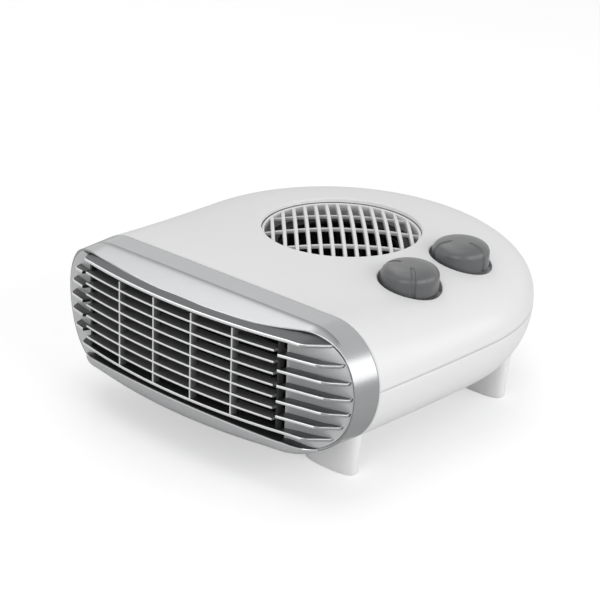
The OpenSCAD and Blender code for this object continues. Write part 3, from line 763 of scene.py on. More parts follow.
@dataclass(frozen=True)
class Section:
    """Outer section of the body, from the middle (0) to the parting line (1).

    FLAT_SHARE and FLOOR_SHARE are the shares of the upper and lower section that lie on the flat.
    DOME_X and DOME_Z are the dome's exponents, under 1 and so fuller than an ellipse. WIDEN and SWELL
    say how early behind the seam the body widens and the dome takes over.

    Attributes:
        sizes: The heater's driving sizes.
        inset: How far the section is drawn in.
    """

    sizes: Sizes
    inset: float = 0.0

    FLAT_SHARE = 0.49
    FLOOR_SHARE = 0.3
    DOME_X = 2 / 3
    DOME_Z = 2 / 2.5
    WIDEN = 1.5
    SWELL = 2

    def half_width(self, y: float) -> float:
        """Gives half of the body's width.

        Args:
            y: Distance behind the seam.

        Returns:
            The half width, drawn in by the inset.
        """
        s = self.sizes
        ease = 1 - (1 - clamp(y / s.body_cy)) ** self.WIDEN
        return s.seam_half + (s.body_r - s.seam_half) * ease - self.inset

    def upper(self, t: float, y: float) -> tuple[float, float]:
        """Places a point of the upper section: flat with round corners at the seam, a dome at the rear.

        Args:
            t: Share of the section.
            y: Distance behind the seam.

        Returns:
            The point's x and z.
        """
        s = self.sizes
        width = self.half_width(y)
        height = s.top_z - s.part_z - self.inset
        flat = width - s.top_round
        if t < self.FLAT_SHARE:
            seam = (flat * t / self.FLAT_SHARE, height)
        else:
            turn = math.radians(90 * (t - self.FLAT_SHARE) / (1 - self.FLAT_SHARE))
            seam = (flat + s.top_round * math.sin(turn), height * math.cos(turn))
        angle = math.radians(90 * t)
        crown = height + s.crown_rise
        dome = (width * math.sin(angle) ** self.DOME_X, crown * math.cos(angle) ** self.DOME_Z)
        mix = 1 - (1 - clamp(y / s.body_cy)) ** self.SWELL
        return seam[0] + (dome[0] - seam[0]) * mix, s.part_z + seam[1] + (dome[1] - seam[1]) * mix

    def lower(self, t: float, y: float) -> tuple[float, float]:
        """Places a point of the lower section: a flat underside with elliptical corners.

        Args:
            t: Share of the section.
            y: Distance behind the seam.

        Returns:
            The point's x and z.
        """
        s = self.sizes
        depth = s.part_z - s.under_z - self.inset
        flat = self.half_width(y) - s.bottom_round
        if t < self.FLOOR_SHARE:
            return flat * t / self.FLOOR_SHARE, s.part_z - depth
        turn = math.radians(90 * (t - self.FLOOR_SHARE) / (1 - self.FLOOR_SHARE))
        return flat + s.bottom_round * math.sin(turn), s.part_z - depth * math.cos(turn)

    def at(self, half: Half, t: float, y: float) -> tuple[float, float]:
        """Gives x and z on the chosen half."""
        return self.upper(t, y) if half is Half.UPPER else self.lower(t, y)

    def top(self, x: float, y: float) -> float:
        """Finds the height of the upper surface over a plan point, by bisection.

        Args:
            x: Distance from the middle.
            y: Distance behind the seam.

        Returns:
            The height in the frame.
        """
        s = self.sizes
        if y > s.body_cy:
            x, y = math.hypot(x, y - s.body_cy), s.body_cy
        low, high = 0.0, 1.0
        for _ in range(30):
            middle = (low + high) / 2
            if self.upper(middle, y)[0] < abs(x):
                low = middle
            else:
                high = middle
        return self.upper(low, y)[1]


@dataclass
class Housing:
    """One of the two white shells: the front runs out into a round rear.

    Attributes:
        sizes: The heater's driving sizes.
        half: Which of the two shells this is.
        profile_steps: Steps from the middle to the parting line.
        turn_steps: Steps round the rear.
        front_steps: Steps from the rear's centre to the seam.
        inner_coarse: How much coarser the inside is.
        rim_round: Rounding of the holes' rims.
        rim_merge: Distance within which vertices of a rim are merged before it is rounded.
        edge_round: Rounding at the seam and at the parting line.
        rim_clear: Distance that the surface's vertices keep from the holes' edges.
        near: Tolerance in which a vertex of a rim lies on the surface.
        cut_low: Height down to which the top is cut.
        cut_high: A height over everything, up to which it is cut.
        bore_r: Radius of the spindles' holes.
        well_r: Radius of the screw wells.
        well_top: Height up to which they reach.
        slots: Number of air slots in the underside.
        slot_size: Their width, length and height.
        slot_pitch: Distance from slot to slot.
        slot_back: Distance of their middles behind the rear's centre.
        gland_r: Radius of the cord's hole.
        gland_depth: Length of the solid that cuts it.
    """

    sizes: Sizes
    half: Half
    profile_steps: int = 60
    turn_steps: int = 90
    front_steps: int = 48
    inner_coarse: int = 3
    rim_round: float = 0.9 * MM
    rim_merge: float = 0.35 * MM
    edge_round: float = 0.3 * MM
    rim_clear: float = 1.7 * MM
    near: float = 0.4 * MM
    cut_low: float = 70 * MM
    cut_high: float = 120 * MM
    bore_r: float = 4 * MM
    well_r: float = 3.4 * MM
    well_top: float = 40 * MM
    slots: int = 7
    slot_size: tuple[float, float, float] = (3 * MM, 22 * MM, 10 * MM)
    slot_pitch: float = 8 * MM
    slot_back: float = 47 * MM
    gland_r: float = 5.8 * MM
    gland_depth: float = 60 * MM

    def build(self) -> list[Object]:
        """Builds and dresses the shell."""
        return [dress(self.shell(), WHITE, "housing", "housing_white", [self.half.node])]

    def shell(self) -> Object:
        """Builds the shell, cuts its holes and rounds its rims.

        Returns:
            The shell, shaded as its surface was before the cuts.
        """
        outer = to_object(self._cleared(self.solid(0.0)), self.half.node + "_shell")
        field = NormalField(outer)
        inner = to_object(self.solid(self.sizes.wall, self.inner_coarse), "inner")
        posts = self._posts()
        if posts:
            subtract(inner, posts)
        subtract(outer, [inner, *self._cutters()])
        self._round_rims(outer)
        shade(outer, 40)
        field.dress(outer)
        return outer

    def solid(self, inset: float, coarse: int = 1) -> BMesh:
        """Builds the closed form of this half, drawn in by inset.

        Args:
            inset: How far the form is drawn in; above 0 it also runs past the seam and parting line.
            coarse: Divides every step count.

        Returns:
            The closed mesh, facing outwards.
        """
        s, section = self.sizes, Section(self.sizes, inset)
        bm = bmesh.new()
        tag = bm.verts.layers.float_vector.new("share and side")
        shares = spread(self.profile_steps // coarse)
        points = [section.at(self.half, t, s.body_cy) for t in shares]
        edges = chain(bm, [s.at(x, s.body_cy, z) for x, z in points])
        for vert, t in zip(bm.verts, shares):
            vert[tag] = (t, 0, 0)
        bmesh.ops.spin(
            bm,
            geom=bm.verts[:] + edges,
            cent=s.at(0, s.body_cy, 0),
            axis=(0, 0, 1),
            angle=math.pi,
            steps=self.turn_steps // coarse,
            use_duplicate=False,
        )
        bmesh.ops.remove_doubles(bm, verts=bm.verts[:], dist=HAIR)
        middle = s.seam_y + s.body_cy
        front = [e for e in bm.edges if all(abs(v.co.y - middle) < HAIR for v in e.verts)]
        for vert in {v for e in front for v in e.verts}:
            vert[tag] = (vert[tag].x, math.copysign(1, vert.co.x), 0)

        def placed(key: Vector, y: float) -> Vector:
            """Places a share of the section, on its side, at a distance behind the seam."""
            x, z = section.at(self.half, key.x, y)
            return s.at(key.y * x, y, z)

        stops = [s.body_cy - (inset + s.body_cy) * t for t in spread(self.front_steps // coarse)]
        last = sweep(bm, tag, front, [lambda key, y=y: placed(key, y) for y in stops[1:]])
        corners = {v for e in last for v in e.verts if v[tag].x > NEARLY_ONE}
        cap(bm, last + [bm.edges.new(tuple(corners))])
        rim = [e for e in bm.edges if all(v[tag].x > NEARLY_ONE for v in e.verts)]
        cap(bm, [e for e in rim if len(e.link_faces) == 1])
        if inset == 0:
            self._open_parting(bm)
        face_outwards(bm)
        return bm

    def _open_parting(self, bm: BMesh) -> None:
        """Draws the parting face back by half of the parting gap.

        Args:
            bm: The closed form of this half.
        """
        shift = self.sizes.parting_gap / 2 * self.half.value
        for vert in bm.verts:
            if abs(vert.co.z - self.sizes.part_z) < HAIR:
                vert.co.z += shift

    def _holes(self) -> list[tuple[float, float, float]]:
        """Lists the round holes in the outside.

        Returns:
            The x, distance behind the seam and radius of each hole.
        """
        s = self.sizes
        if self.half is Half.UPPER:
            return [(0, s.body_cy, s.intake_r)] + [(x, y, s.pocket_r) for x, y in s.knobs]
        return []

    def _cleared(self, bm: BMesh) -> BMesh:
        """Slides vertices along the surface away from the holes' edges, so that the rims can be rounded.

        Args:
            bm: The closed form of this half.

        Returns:
            The same mesh.
        """
        s, section = self.sizes, Section(self.sizes)
        for vert in bm.verts:
            if vert.co.z < self.cut_low:
                continue
            for x, y, radius in self._holes():
                off = Vector((vert.co.x - x, vert.co.y - s.seam_y - y))
                gap = off.length - radius
                if abs(gap) < self.rim_clear and off.length > 0:
                    off *= (radius + math.copysign(self.rim_clear, gap)) / off.length
                    px, py = x + off.x, y + off.y
                    vert.co = s.at(px, py, section.top(px, py))
        return bm

    def _posts(self) -> list[Object]:
        """Makes the solids that stay standing inside the shell.

        Returns:
            The cups round the knob pockets, in the upper shell.
        """
        s = self.sizes
        if self.half is not Half.UPPER:
            return []
        cup = plug(s.pocket_z - s.cup_wall, self.cut_high, s.pocket_r + s.cup_wall)
        return [lathe(cup, s.at(x, y, 0), "cup", 64) for x, y in s.knobs]

    def _cutters(self) -> list[Object]:
        """Makes the solids that are cut out of the shell.

        Returns:
            The intake and the knob pockets, or the openings of the underside.
        """
        s, low, high = self.sizes, self.cut_low, self.cut_high
        if self.half is not Half.UPPER:
            return [*self._wells(), self._slots(), self._gland_hole()]
        intake = lathe(plug(low, high, s.intake_r), s.at(0, s.body_cy, 0), "intake", 160)
        bore = [(0, low), (self.bore_r, low), (self.bore_r, s.pocket_z)]
        pocket = bore + [(s.pocket_r, s.pocket_z), (s.pocket_r, high), (0, high)]
        return [intake] + [lathe(pocket, s.at(x, y, 0), "pocket", 120) for x, y in s.knobs]

    def _wells(self) -> list[Object]:
        """Makes the wells over the housing screws."""
        places = [Vector((c.x, c.y, 0)) for c in solid_centres("housing_screws")]
        return [lathe(plug(0, self.well_top, self.well_r), place, "well", 32) for place in places]

    def _slots(self) -> Object:
        """Makes the air slots of the underside, as one object.

        Returns:
            The object, for a cut.
        """
        s = self.sizes
        bm = bmesh.new()
        for k in range(self.slots):
            x = (k - (self.slots - 1) / 2) * self.slot_pitch
            place = Matrix.Translation(s.at(x, s.body_cy + self.slot_back, s.under_z))
            bmesh.ops.create_cube(bm, size=1, matrix=place @ Matrix.Diagonal((*self.slot_size, 1)))
        return to_object(bm, "slots")

    def _gland_hole(self) -> Object:
        """Makes the hole round the cord's inlet.

        Returns:
            The object, for a cut.
        """
        low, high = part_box("cord_inlet")
        place = Matrix.Translation(Vector((0, high.y, (low.z + high.z) / 2)))
        bm = bmesh.new()
        bmesh.ops.create_cone(
            bm,
            cap_ends=True,
            segments=48,
            radius1=self.gland_r,
            radius2=self.gland_r,
            depth=self.gland_depth,
            matrix=place @ Matrix.Rotation(math.pi / 2, 4, "X"),
        )
        return to_object(bm, "gland hole")

    def _round_rims(self, obj: Object) -> None:
        """Rounds the holes' rims, and breaks the edges at the parting line and the seam.

        Args:
            obj: The cut shell.
        """
        bm = bmesh.new()
        bm.from_mesh(obj.data)
        bmesh.ops.remove_doubles(bm, verts=bm.verts[:], dist=20 * HAIR)
        for hole in self._holes():
            verts = {v for e in self._rim(bm, hole) for v in e.verts}
            bmesh.ops.remove_doubles(bm, verts=list(verts), dist=self.rim_merge)
            round_edges(bm, self._rim(bm, hole), self.rim_round, 4)
        round_edges(bm, [e for e in sharp_edges(bm, 60) if self._on_outline(e)], self.edge_round)
        bm.normal_update()
        bm.to_mesh(obj.data)
        bm.free()

    def _rim(self, bm: BMesh, hole: tuple[float, float, float]) -> list[BMEdge]:
        """Lists the edges at which a hole meets the outer surface.

        Args:
            bm: The shell's mesh.
            hole: The hole's x, distance behind the seam and radius.

        Returns:
            The edges of the rim.
        """
        s, section = self.sizes, Section(self.sizes)
        x, y, radius = hole

        def on_rim(place: Vector) -> bool:
            """Tells whether a place lies on the rim."""
            on_wall = abs(math.hypot(place.x - x, place.y - s.seam_y - y) - radius) < 50 * HAIR
            return on_wall and abs(place.z - section.top(place.x, place.y - s.seam_y)) < self.near

        return [e for e in sharp_edges(bm, 40) if all(on_rim(v.co) for v in e.verts)]

    def _on_outline(self, edge: BMEdge) -> bool:
        """Tells whether an edge lies on the outer edge of the seam face or of the parting face.

        Args:
            edge: A sharp edge of the shell.

        Returns:
            True for an edge that is to be broken.
        """
        s, section = self.sizes, Section(self.sizes)
        at_seam = all(abs(v.co.y - s.seam_y) < HAIR for v in edge.verts)
        level = s.part_z + self.half.value * s.parting_gap / 2
        at_parting = all(abs(v.co.z - level) < HAIR for v in edge.verts)
        if not (at_seam or at_parting):
            return False
        inside = 0.5 * MM
        for v in edge.verts:
            y = v.co.y - s.seam_y
            if y > s.body_cy:
                if math.hypot(v.co.x, y - s.body_cy) < s.body_r - inside:
                    return False
            elif at_parting and abs(v.co.x) < section.half_width(y) - inside:
                return False
            elif at_seam and not at_parting and not self._on_section(v):
                return False
        return True

    def _on_section(self, vert: BMVert) -> bool:
        """Tells whether a vertex of the seam face lies on the outer section.

        Args:
            vert: The vertex.

        Returns:
            False for a vertex on the inside of the wall.
        """
        s = self.sizes
        inner = Section(s, s.wall / 2)
        x, z = abs(vert.co.x), vert.co.z
        if x > inner.half_width(0):
            return True
        if self.half is Half.UPPER:
            return z > inner.top(x, 0)
        share = clamp((x - inner.half_width(0) + s.bottom_round) / s.bottom_round)
        depth = s.part_z - s.under_z - s.wall / 2
        return z < s.part_z - depth * math.sqrt(1 - share * share)


def solid_centres(node: str) -> list[Vector]:
    """Finds the middles of the separate solids in a CAD node.

    Args:
        node: The node's name.

    Returns:
        The middles of the solids' boxes, from -X to +X.
    """
    bm = bmesh.new()
    bm.from_mesh(next(o for o in bpy.data.objects if o.get("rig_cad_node") == node).data)
    bmesh.ops.remove_doubles(bm, verts=bm.verts[:], dist=HAIR)
    left = set(bm.verts)
    centres = []
    while left:
        island, queue = [], [left.pop()]
        while queue:
            vert = queue.pop()
            island.append(vert.co.copy())
            for edge in vert.link_edges:
                other = edge.other_vert(vert)
                if other in left:
                    left.remove(other)
                    queue.append(other)
        low = Vector(map(min, zip(*island)))
        high = Vector(map(max, zip(*island)))
        centres.append((low + high) / 2)
    bm.free()
    return sorted(centres, key=lambda c: (round(c.x, 4), round(c.y, 4)))


@dataclass
class IntakeGuard:
    """The round guard in the intake: a ring, thick slanted bars and thin cross ribs below them.

    Attributes:
        sizes: The heater's driving sizes.
        bars: Number of thick bars.
        ribs: Number of cross ribs.
        angle: Turn of the thick bars.
        bar_size: Width and height of a thick bar.
        rib_size: Width and height of a cross rib.
        rib_drop: How far the ribs' tops lie under the bars' tops.
        bar_round: Rounding of the bars' and ribs' edges.
        bar_cuts: Cuts along a bar, for its arch.
        end_sink: How far the bars' ends lie inside the ring's outside.
        ring_gap: Dark line between ring and housing.
        ring_wall: Thickness of the ring.
        ring_drop: How far its top lies under the housing's rim.
        ring_round: Rounding of its upper edges.
        ring_steps: Steps round it.
        arch: How much higher the bars stand in the middle than at the ring.
        edge_z: Height of the bars' tops at the ring.
    """

    sizes: Sizes
    bars: int = 13
    ribs: int = 3
    angle: float = math.radians(133.6)
    bar_size: tuple[float, float] = (2.1 * MM, 4.4 * MM)
    rib_size: tuple[float, float] = (1.6 * MM, 2.4 * MM)
    rib_drop: float = 2.0 * MM
    bar_round: float = 0.5 * MM
    bar_cuts: int = 18
    end_sink: float = 0.1 * MM
    ring_gap: float = 0.06 * MM
    ring_wall: float = 1.8 * MM
    ring_drop: float = 2.8 * MM
    ring_round: float = 0.6 * MM
    ring_steps: int = 144
    arch: float = 4.2 * MM
    edge_z: float = 95.4 * MM

    def build(self) -> list[Object]:
        """Builds and dresses the guard."""
        return [dress(self.moulding(), WHITE, "housing", "housing_white", ["intake_guard"])]

    def moulding(self) -> Object:
        """Builds ring, bars and ribs as one moulding.

        Returns:
            The guard.
        """
        radius = self.sizes.intake_r - self.ring_gap
        bm = self._ring(radius)
        reach = radius - self.end_sink
        for share in spread(self.bars + 1)[1:-1]:
            self._bar(bm, radius * (2 * share - 1), reach, self.bar_size, 0.0, along=True)
        for share in spread(self.ribs + 1)[1:-1]:
            self._bar(bm, radius * (2 * share - 1), reach, self.rib_size, self.rib_drop, along=False)
        return shade(to_object(bm, "intake_guard_moulding"), 40)

    def _ring(self, radius: float) -> BMesh:
        """Makes the mesh of the ring, with its upper edge rounded.

        Args:
            radius: The ring's outer radius.

        Returns:
            The mesh.
        """
        s = self.sizes
        low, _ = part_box("intake_guard")
        inner, r = radius - self.ring_wall, self.ring_round
        bend = Section(s).top(0, s.body_cy - radius) - self.ring_drop - r
        profile = [(inner, low.z), (radius, low.z)]
        profile += [(radius - r + u, bend + w) for u, w in quarter(r)]
        profile += [(inner + r - w, bend + u) for u, w in quarter(r)]
        centre = s.at(0, s.body_cy, 0)
        bm = bmesh.new()
        edges = chain(bm, [centre + Vector((x, 0, z)) for x, z in profile], closed=True)
        spin(bm, edges, centre, self.ring_steps)
        return bm

    def _bar(
        self, bm: BMesh, off: float, reach: float, size: tuple[float, float], drop: float, along: bool
    ) -> None:
        """Adds one arched bar with rounded edges.

        Args:
            bm: The guard's mesh.
            off: Distance of the bar from the middle.
            reach: Radius at which the bar ends.
            size: The bar's width and height.
            drop: How far its top lies under the thick bars' top.
            along: True for a thick bar, False for a cross rib.
        """
        s = self.sizes
        half = math.sqrt(reach * reach - off * off)
        turn = Matrix.Translation(s.at(0, s.body_cy, 0)) @ Matrix.Rotation(self.angle, 4, "Z")
        bar = bmesh.new()
        bmesh.ops.create_cube(bar, size=1, matrix=Matrix.Diagonal((2 * half, *size, 1)))
        round_edges(bar, long_edges(bar, 0, half), self.bar_round, 3)
        edges = long_edges(bar, 0, half)
        bmesh.ops.subdivide_edges(bar, edges=edges, cuts=self.bar_cuts, use_grid_fill=True)
        for vert in bar.verts:
            x, y = (vert.co.x, vert.co.y + off) if along else (off + vert.co.y, vert.co.x)
            far = math.hypot(x, y) / s.intake_r
            top = self.edge_z + self.arch * (1 - far * far)
            vert.co = turn @ Vector((x, y, top - drop - size[1] / 2 + vert.co.z))
        join_into(bm, bar)


# The front


@dataclass
class Bezel:
    """The silver ring at the front, with its hood and end panels.

    Attributes:
        sizes: The heater's driving sizes.
        wall: Thickness of the ring.
        lip: Thickness of its front edge.
        lip_run: How far behind the front edge it keeps this thickness.
        lip_blend: Length over which it then thickens to the wall.
        step: Rounding inside the front edge.
        edge_round: Rounding of its front edge.
        rear_round: Rounding of its rear edges.
        seam_gap: Open line between ring and housing.
        taper: How much narrower the ring gets towards the front, per length.
        side_reach: How far its sides stand ahead of the seam.
        side_blend: Length over which the sides run out into the front edge's arc.
        corner: Where the hood's edge starts and ends to turn back to the sides.
        corner_back: How far it turns back on top of its arc, on the left and right.
        hood_slope: Slope of the hood towards its edge.
        swell_slope: Added slope just ahead of the crease, which dies away.
        swell_run: Distance over which it dies away.
        hood_fade: Height under the top within which the hood's form fades out.
        rows_behind: Distances ahead of the seam at which rows lie, short of the crease.
        rows_ahead: Shares of the way from the crease to the front edge at which rows lie.
        panel_x: Distance of the end panels' inner edges from the middle, on the left and right.
        panel_y: Their distance ahead of the seam.
        panel_t: Thickness of the end panels.
        panel_gap: Dark line between ring and end panel.
        panel_sink: How far the end panels' outer edges lie behind the ring's edge.
        panel_ends: How far their lower and upper ends lie inside the ring.
        panel_min: Least width of an end panel.
        panel_rows: Rows of an end panel.
        panel_columns: Columns of an end panel.
        section_steps: Steps from the middle of the section to the parting line.
    """

    sizes: Sizes
    wall: float = 2.2 * MM
    lip: float = 0.9 * MM
    lip_run: float = 4 * MM
    lip_blend: float = 1 * MM
    step: float = 0.2 * MM
    edge_round: float = 0.45 * MM
    rear_round: float = 0.25 * MM
    seam_gap: float = 0.35 * MM
    taper: float = 0.14
    side_reach: float = 17.5 * MM
    side_blend: float = 1 * MM
    corner: tuple[float, float] = (50 * MM, 86 * MM)
    corner_back: tuple[float, float] = (-1.5 * MM, 4.5 * MM)
    hood_slope: float = -0.13
    swell_slope: float = 0.23
    swell_run: float = 2.5 * MM
    hood_fade: float = 9 * MM
    rows_behind: tuple[float, ...] = (1.2 * MM, 4 * MM, 8 * MM, 12 * MM, 14 * MM)
    rows_ahead: tuple[float, ...] = (0.03, 0.07, 0.12, 0.18, 0.26, 0.36, 0.48, 0.6, 0.72, 0.84, 0.94, 0.985)
    panel_x: tuple[float, float] = (77 * MM, 73 * MM)
    panel_y: float = 31 * MM
    panel_t: float = 7 * MM
    panel_gap: float = 0.4 * MM
    panel_sink: float = 0.6 * MM
    panel_ends: tuple[float, float] = (0.5 * MM, 3.5 * MM)
    panel_min: float = 1 * MM
    panel_rows: int = 56
    panel_columns: int = 16
    section_steps: int = 48

    def build(self) -> list[Object]:
        """Builds and dresses the ring and the end panels."""
        return [
            # The ring's silver carries painted shade just ahead of the crease.
            dress(self.ring(), self.ring_finish(), "housing", "bezel_silver", ["front_bezel"]),
            # The end panels take the lighter copy of the silver, painted light.
            dress(self.panels(), PANEL_PAINTED_LIGHT, "housing", "bezel_silver", []),
        ]

    def rim(self, x: float) -> float:
        """Gives how far the ring's front edge stands ahead of the seam.

        Args:
            x: Distance from the middle, below 0 on the left.

        Returns:
            The distance ahead of the seam.
        """
        s = self.sizes
        start, stop = self.corner
        turn = smooth_step((abs(x) - start) / (stop - start))
        ahead = -arc_y(x, s.rim_reach, s.rim_r) - self.corner_back[x > 0] * turn
        return (ahead + self.side_reach + math.hypot(ahead - self.side_reach, self.side_blend)) / 2

    def under(self, x: float) -> float:
        """Gives the height of the ring's underside.

        Args:
            x: Distance from the middle.

        Returns:
            The height in the frame.
        """
        s = self.sizes
        share = clamp((abs(x) - s.seam_half + s.bottom_round) / s.bottom_round)
        return s.part_z - (s.part_z - s.under_z) * math.sqrt(1 - share * share)

    def edge_x(self, z: float, inset: float) -> float:
        """Gives half of the width of the ring's front edge at a height.

        Args:
            z: The height in the frame.
            inset: How far inside the edge the width is taken.

        Returns:
            The half width.
        """
        s = self.sizes
        up = z > s.part_z
        height = (s.top_z - s.part_z if up else s.part_z - s.under_z) - inset
        round_x = s.top_round if up else s.bottom_round
        share = clamp(abs(z - s.part_z) / height)
        x = s.seam_half - inset - round_x + round_x * math.sqrt(1 - share * share)
        return x - self._narrowed(x, self.side_reach)

    def ring_finish(self) -> PaintedCreaseShade:
        """Gives the ring its silver, with painted shade ahead of its crease.

        Returns:
            The finish.
        """
        kept = {each.name: getattr(SILVER, each.name) for each in fields(SILVER)}
        crease = self.sizes.seam_y - self.sizes.crease_y
        return PaintedCreaseShade(**{**kept, "name": "ring silver"}, crease_y=crease)

    def ring(self) -> Object:
        """Builds the ring: outside, hood, rounded front edge and inner wall.

        Returns:
            The ring.
        """
        bm = bmesh.new()
        tag, first = keyed(bm, self._keys())
        for vert in bm.verts:
            vert.co = self._place(vert[tag], self.seam_gap, 0.0)
        r, inner = self.edge_round, self.lip + self.step
        rows = [(row, 0.0, None) for row in (*self.rows_behind, self.sizes.crease_y)]
        rows += [(0.0, 0.0, share) for share in self.rows_ahead]
        for turn in (30, 60, 90):
            a = math.radians(turn)
            rows.append((r * (math.sin(a) - 1), r * (1 - math.cos(a)), 1.0))
        rows += [
            (0.0, self.lip, 1.0),
            (-self.step, inner, 1.0),
            (-self.lip_run, inner, 1.0),
            (-self.lip_run - self.lip_blend, self.wall, 1.0),
            (self.seam_gap, self.wall, None),
        ]
        last = sweep(bm, tag, first, [lambda key, row=row: self._place(key, *row) for row in rows])
        bmesh.ops.bridge_loops(bm, edges=first + last)
        face_outwards(bm)
        rear = self.sizes.seam_y - self.seam_gap - HAIR
        edges = [e for e in sharp_edges(bm, 60) if all(v.co.y > rear for v in e.verts)]
        round_edges(bm, edges, self.rear_round)
        return shade(to_object(bm, "bezel_ring"), 50)

    def _keys(self) -> list[tuple[float, int, int]]:
        """Runs once round the whole section.

        Returns:
            The share of the section, the side and the half of each vertex.
        """
        shares = spread(self.section_steps)
        keys = [(t, 1, 1) for t in shares]
        keys += [(t, 1, -1) for t in reversed(shares[:-1])]
        keys += [(t, -1, -1) for t in shares[1:]]
        keys += [(t, -1, 1) for t in reversed(shares[1:-1])]
        return keys

    def _narrowed(self, x: float, ahead: float) -> float:
        """Gives how much nearer to the middle a point lies because the ring tapers."""
        return min(ahead, self.side_reach) * self.taper * (x / self.sizes.seam_half) ** 2

    def _place(
        self, key: Sequence[float], depth: float, inset: float, share: float | None = None
    ) -> Vector:
        """Places a vertex of the section ahead of the seam.

        Args:
            key: Share of the section, side and half.
            depth: Distance ahead of the seam, or past the share.
            inset: How far the section is drawn in.
            share: Share of the way from the crease to the front edge, if any.

        Returns:
            The place in the frame.
        """
        s = self.sizes
        half = Half.UPPER if key[2] > 0 else Half.LOWER
        x, z = Section(s, inset).at(half, key[0], 0.0)
        ahead = depth
        if share is not None:
            ahead += s.crease_y + (self.rim(key[1] * x) - s.crease_y) * share
        if half is Half.UPPER:
            fade = clamp(1 - (s.top_z - inset - z) / self.hood_fade)
            z += self._hood(ahead) * smooth_step(fade)
        return s.at(key[1] * (x - self._narrowed(x, ahead)), -ahead, z)

    def _hood(self, ahead: float) -> float:
        """Gives the height of the hood over the top.

        Args:
            ahead: Distance ahead of the seam.

        Returns:
            The height, below 0 where the hood lies lower than the top.
        """
        run = max(0.0, ahead - self.sizes.crease_y)
        swell = self.swell_slope * self.swell_run * (1 - math.exp(-run / self.swell_run))
        return self.hood_slope * run + swell

    def panels(self) -> Object:
        """Builds the two end panels that close the ring beside the outlet.

        Returns:
            Both panels as one object.
        """
        s = self.sizes
        inset = self.lip + self.panel_gap
        low, high = s.under_z + inset + self.panel_ends[0], s.top_z - inset - self.panel_ends[1]
        rows = [low + (high - low) * t for t in spread(self.panel_rows)]
        bm = bmesh.new()
        for side in (1, -1):
            sheet = bmesh.new()
            tag, edges = keyed(sheet, [(z, self.edge_x(z, inset), side) for z in rows], closed=False)
            columns = [lambda key, t=t: self._on_panel(key, t) for t in spread(self.panel_columns)]
            for vert in sheet.verts:
                vert.co = columns[0](vert[tag])
            sweep(sheet, tag, edges, columns[1:])
            thicken(sheet, Vector((0, self.panel_t, 0)))
            face_outwards(sheet)
            join_into(bm, sheet)
        return shade(to_object(bm, "bezel_end_panels"), 40)

    def _on_panel(self, key: Vector, share: float) -> Vector:
        """Places a vertex of an end panel.

        Args:
            key: The height, the ring's half width there and the side.
            share: Share of the way from the inner to the outer edge.

        Returns:
            The place in the frame.
        """
        z, outer, side = key
        inner = min(self.panel_x[side > 0], outer - self.panel_min)
        ahead = self.panel_y + (self.rim(side * outer) - self.panel_sink - self.panel_y) * share
        return self.sizes.at(side * (inner + (outer - inner) * share), -ahead, z)


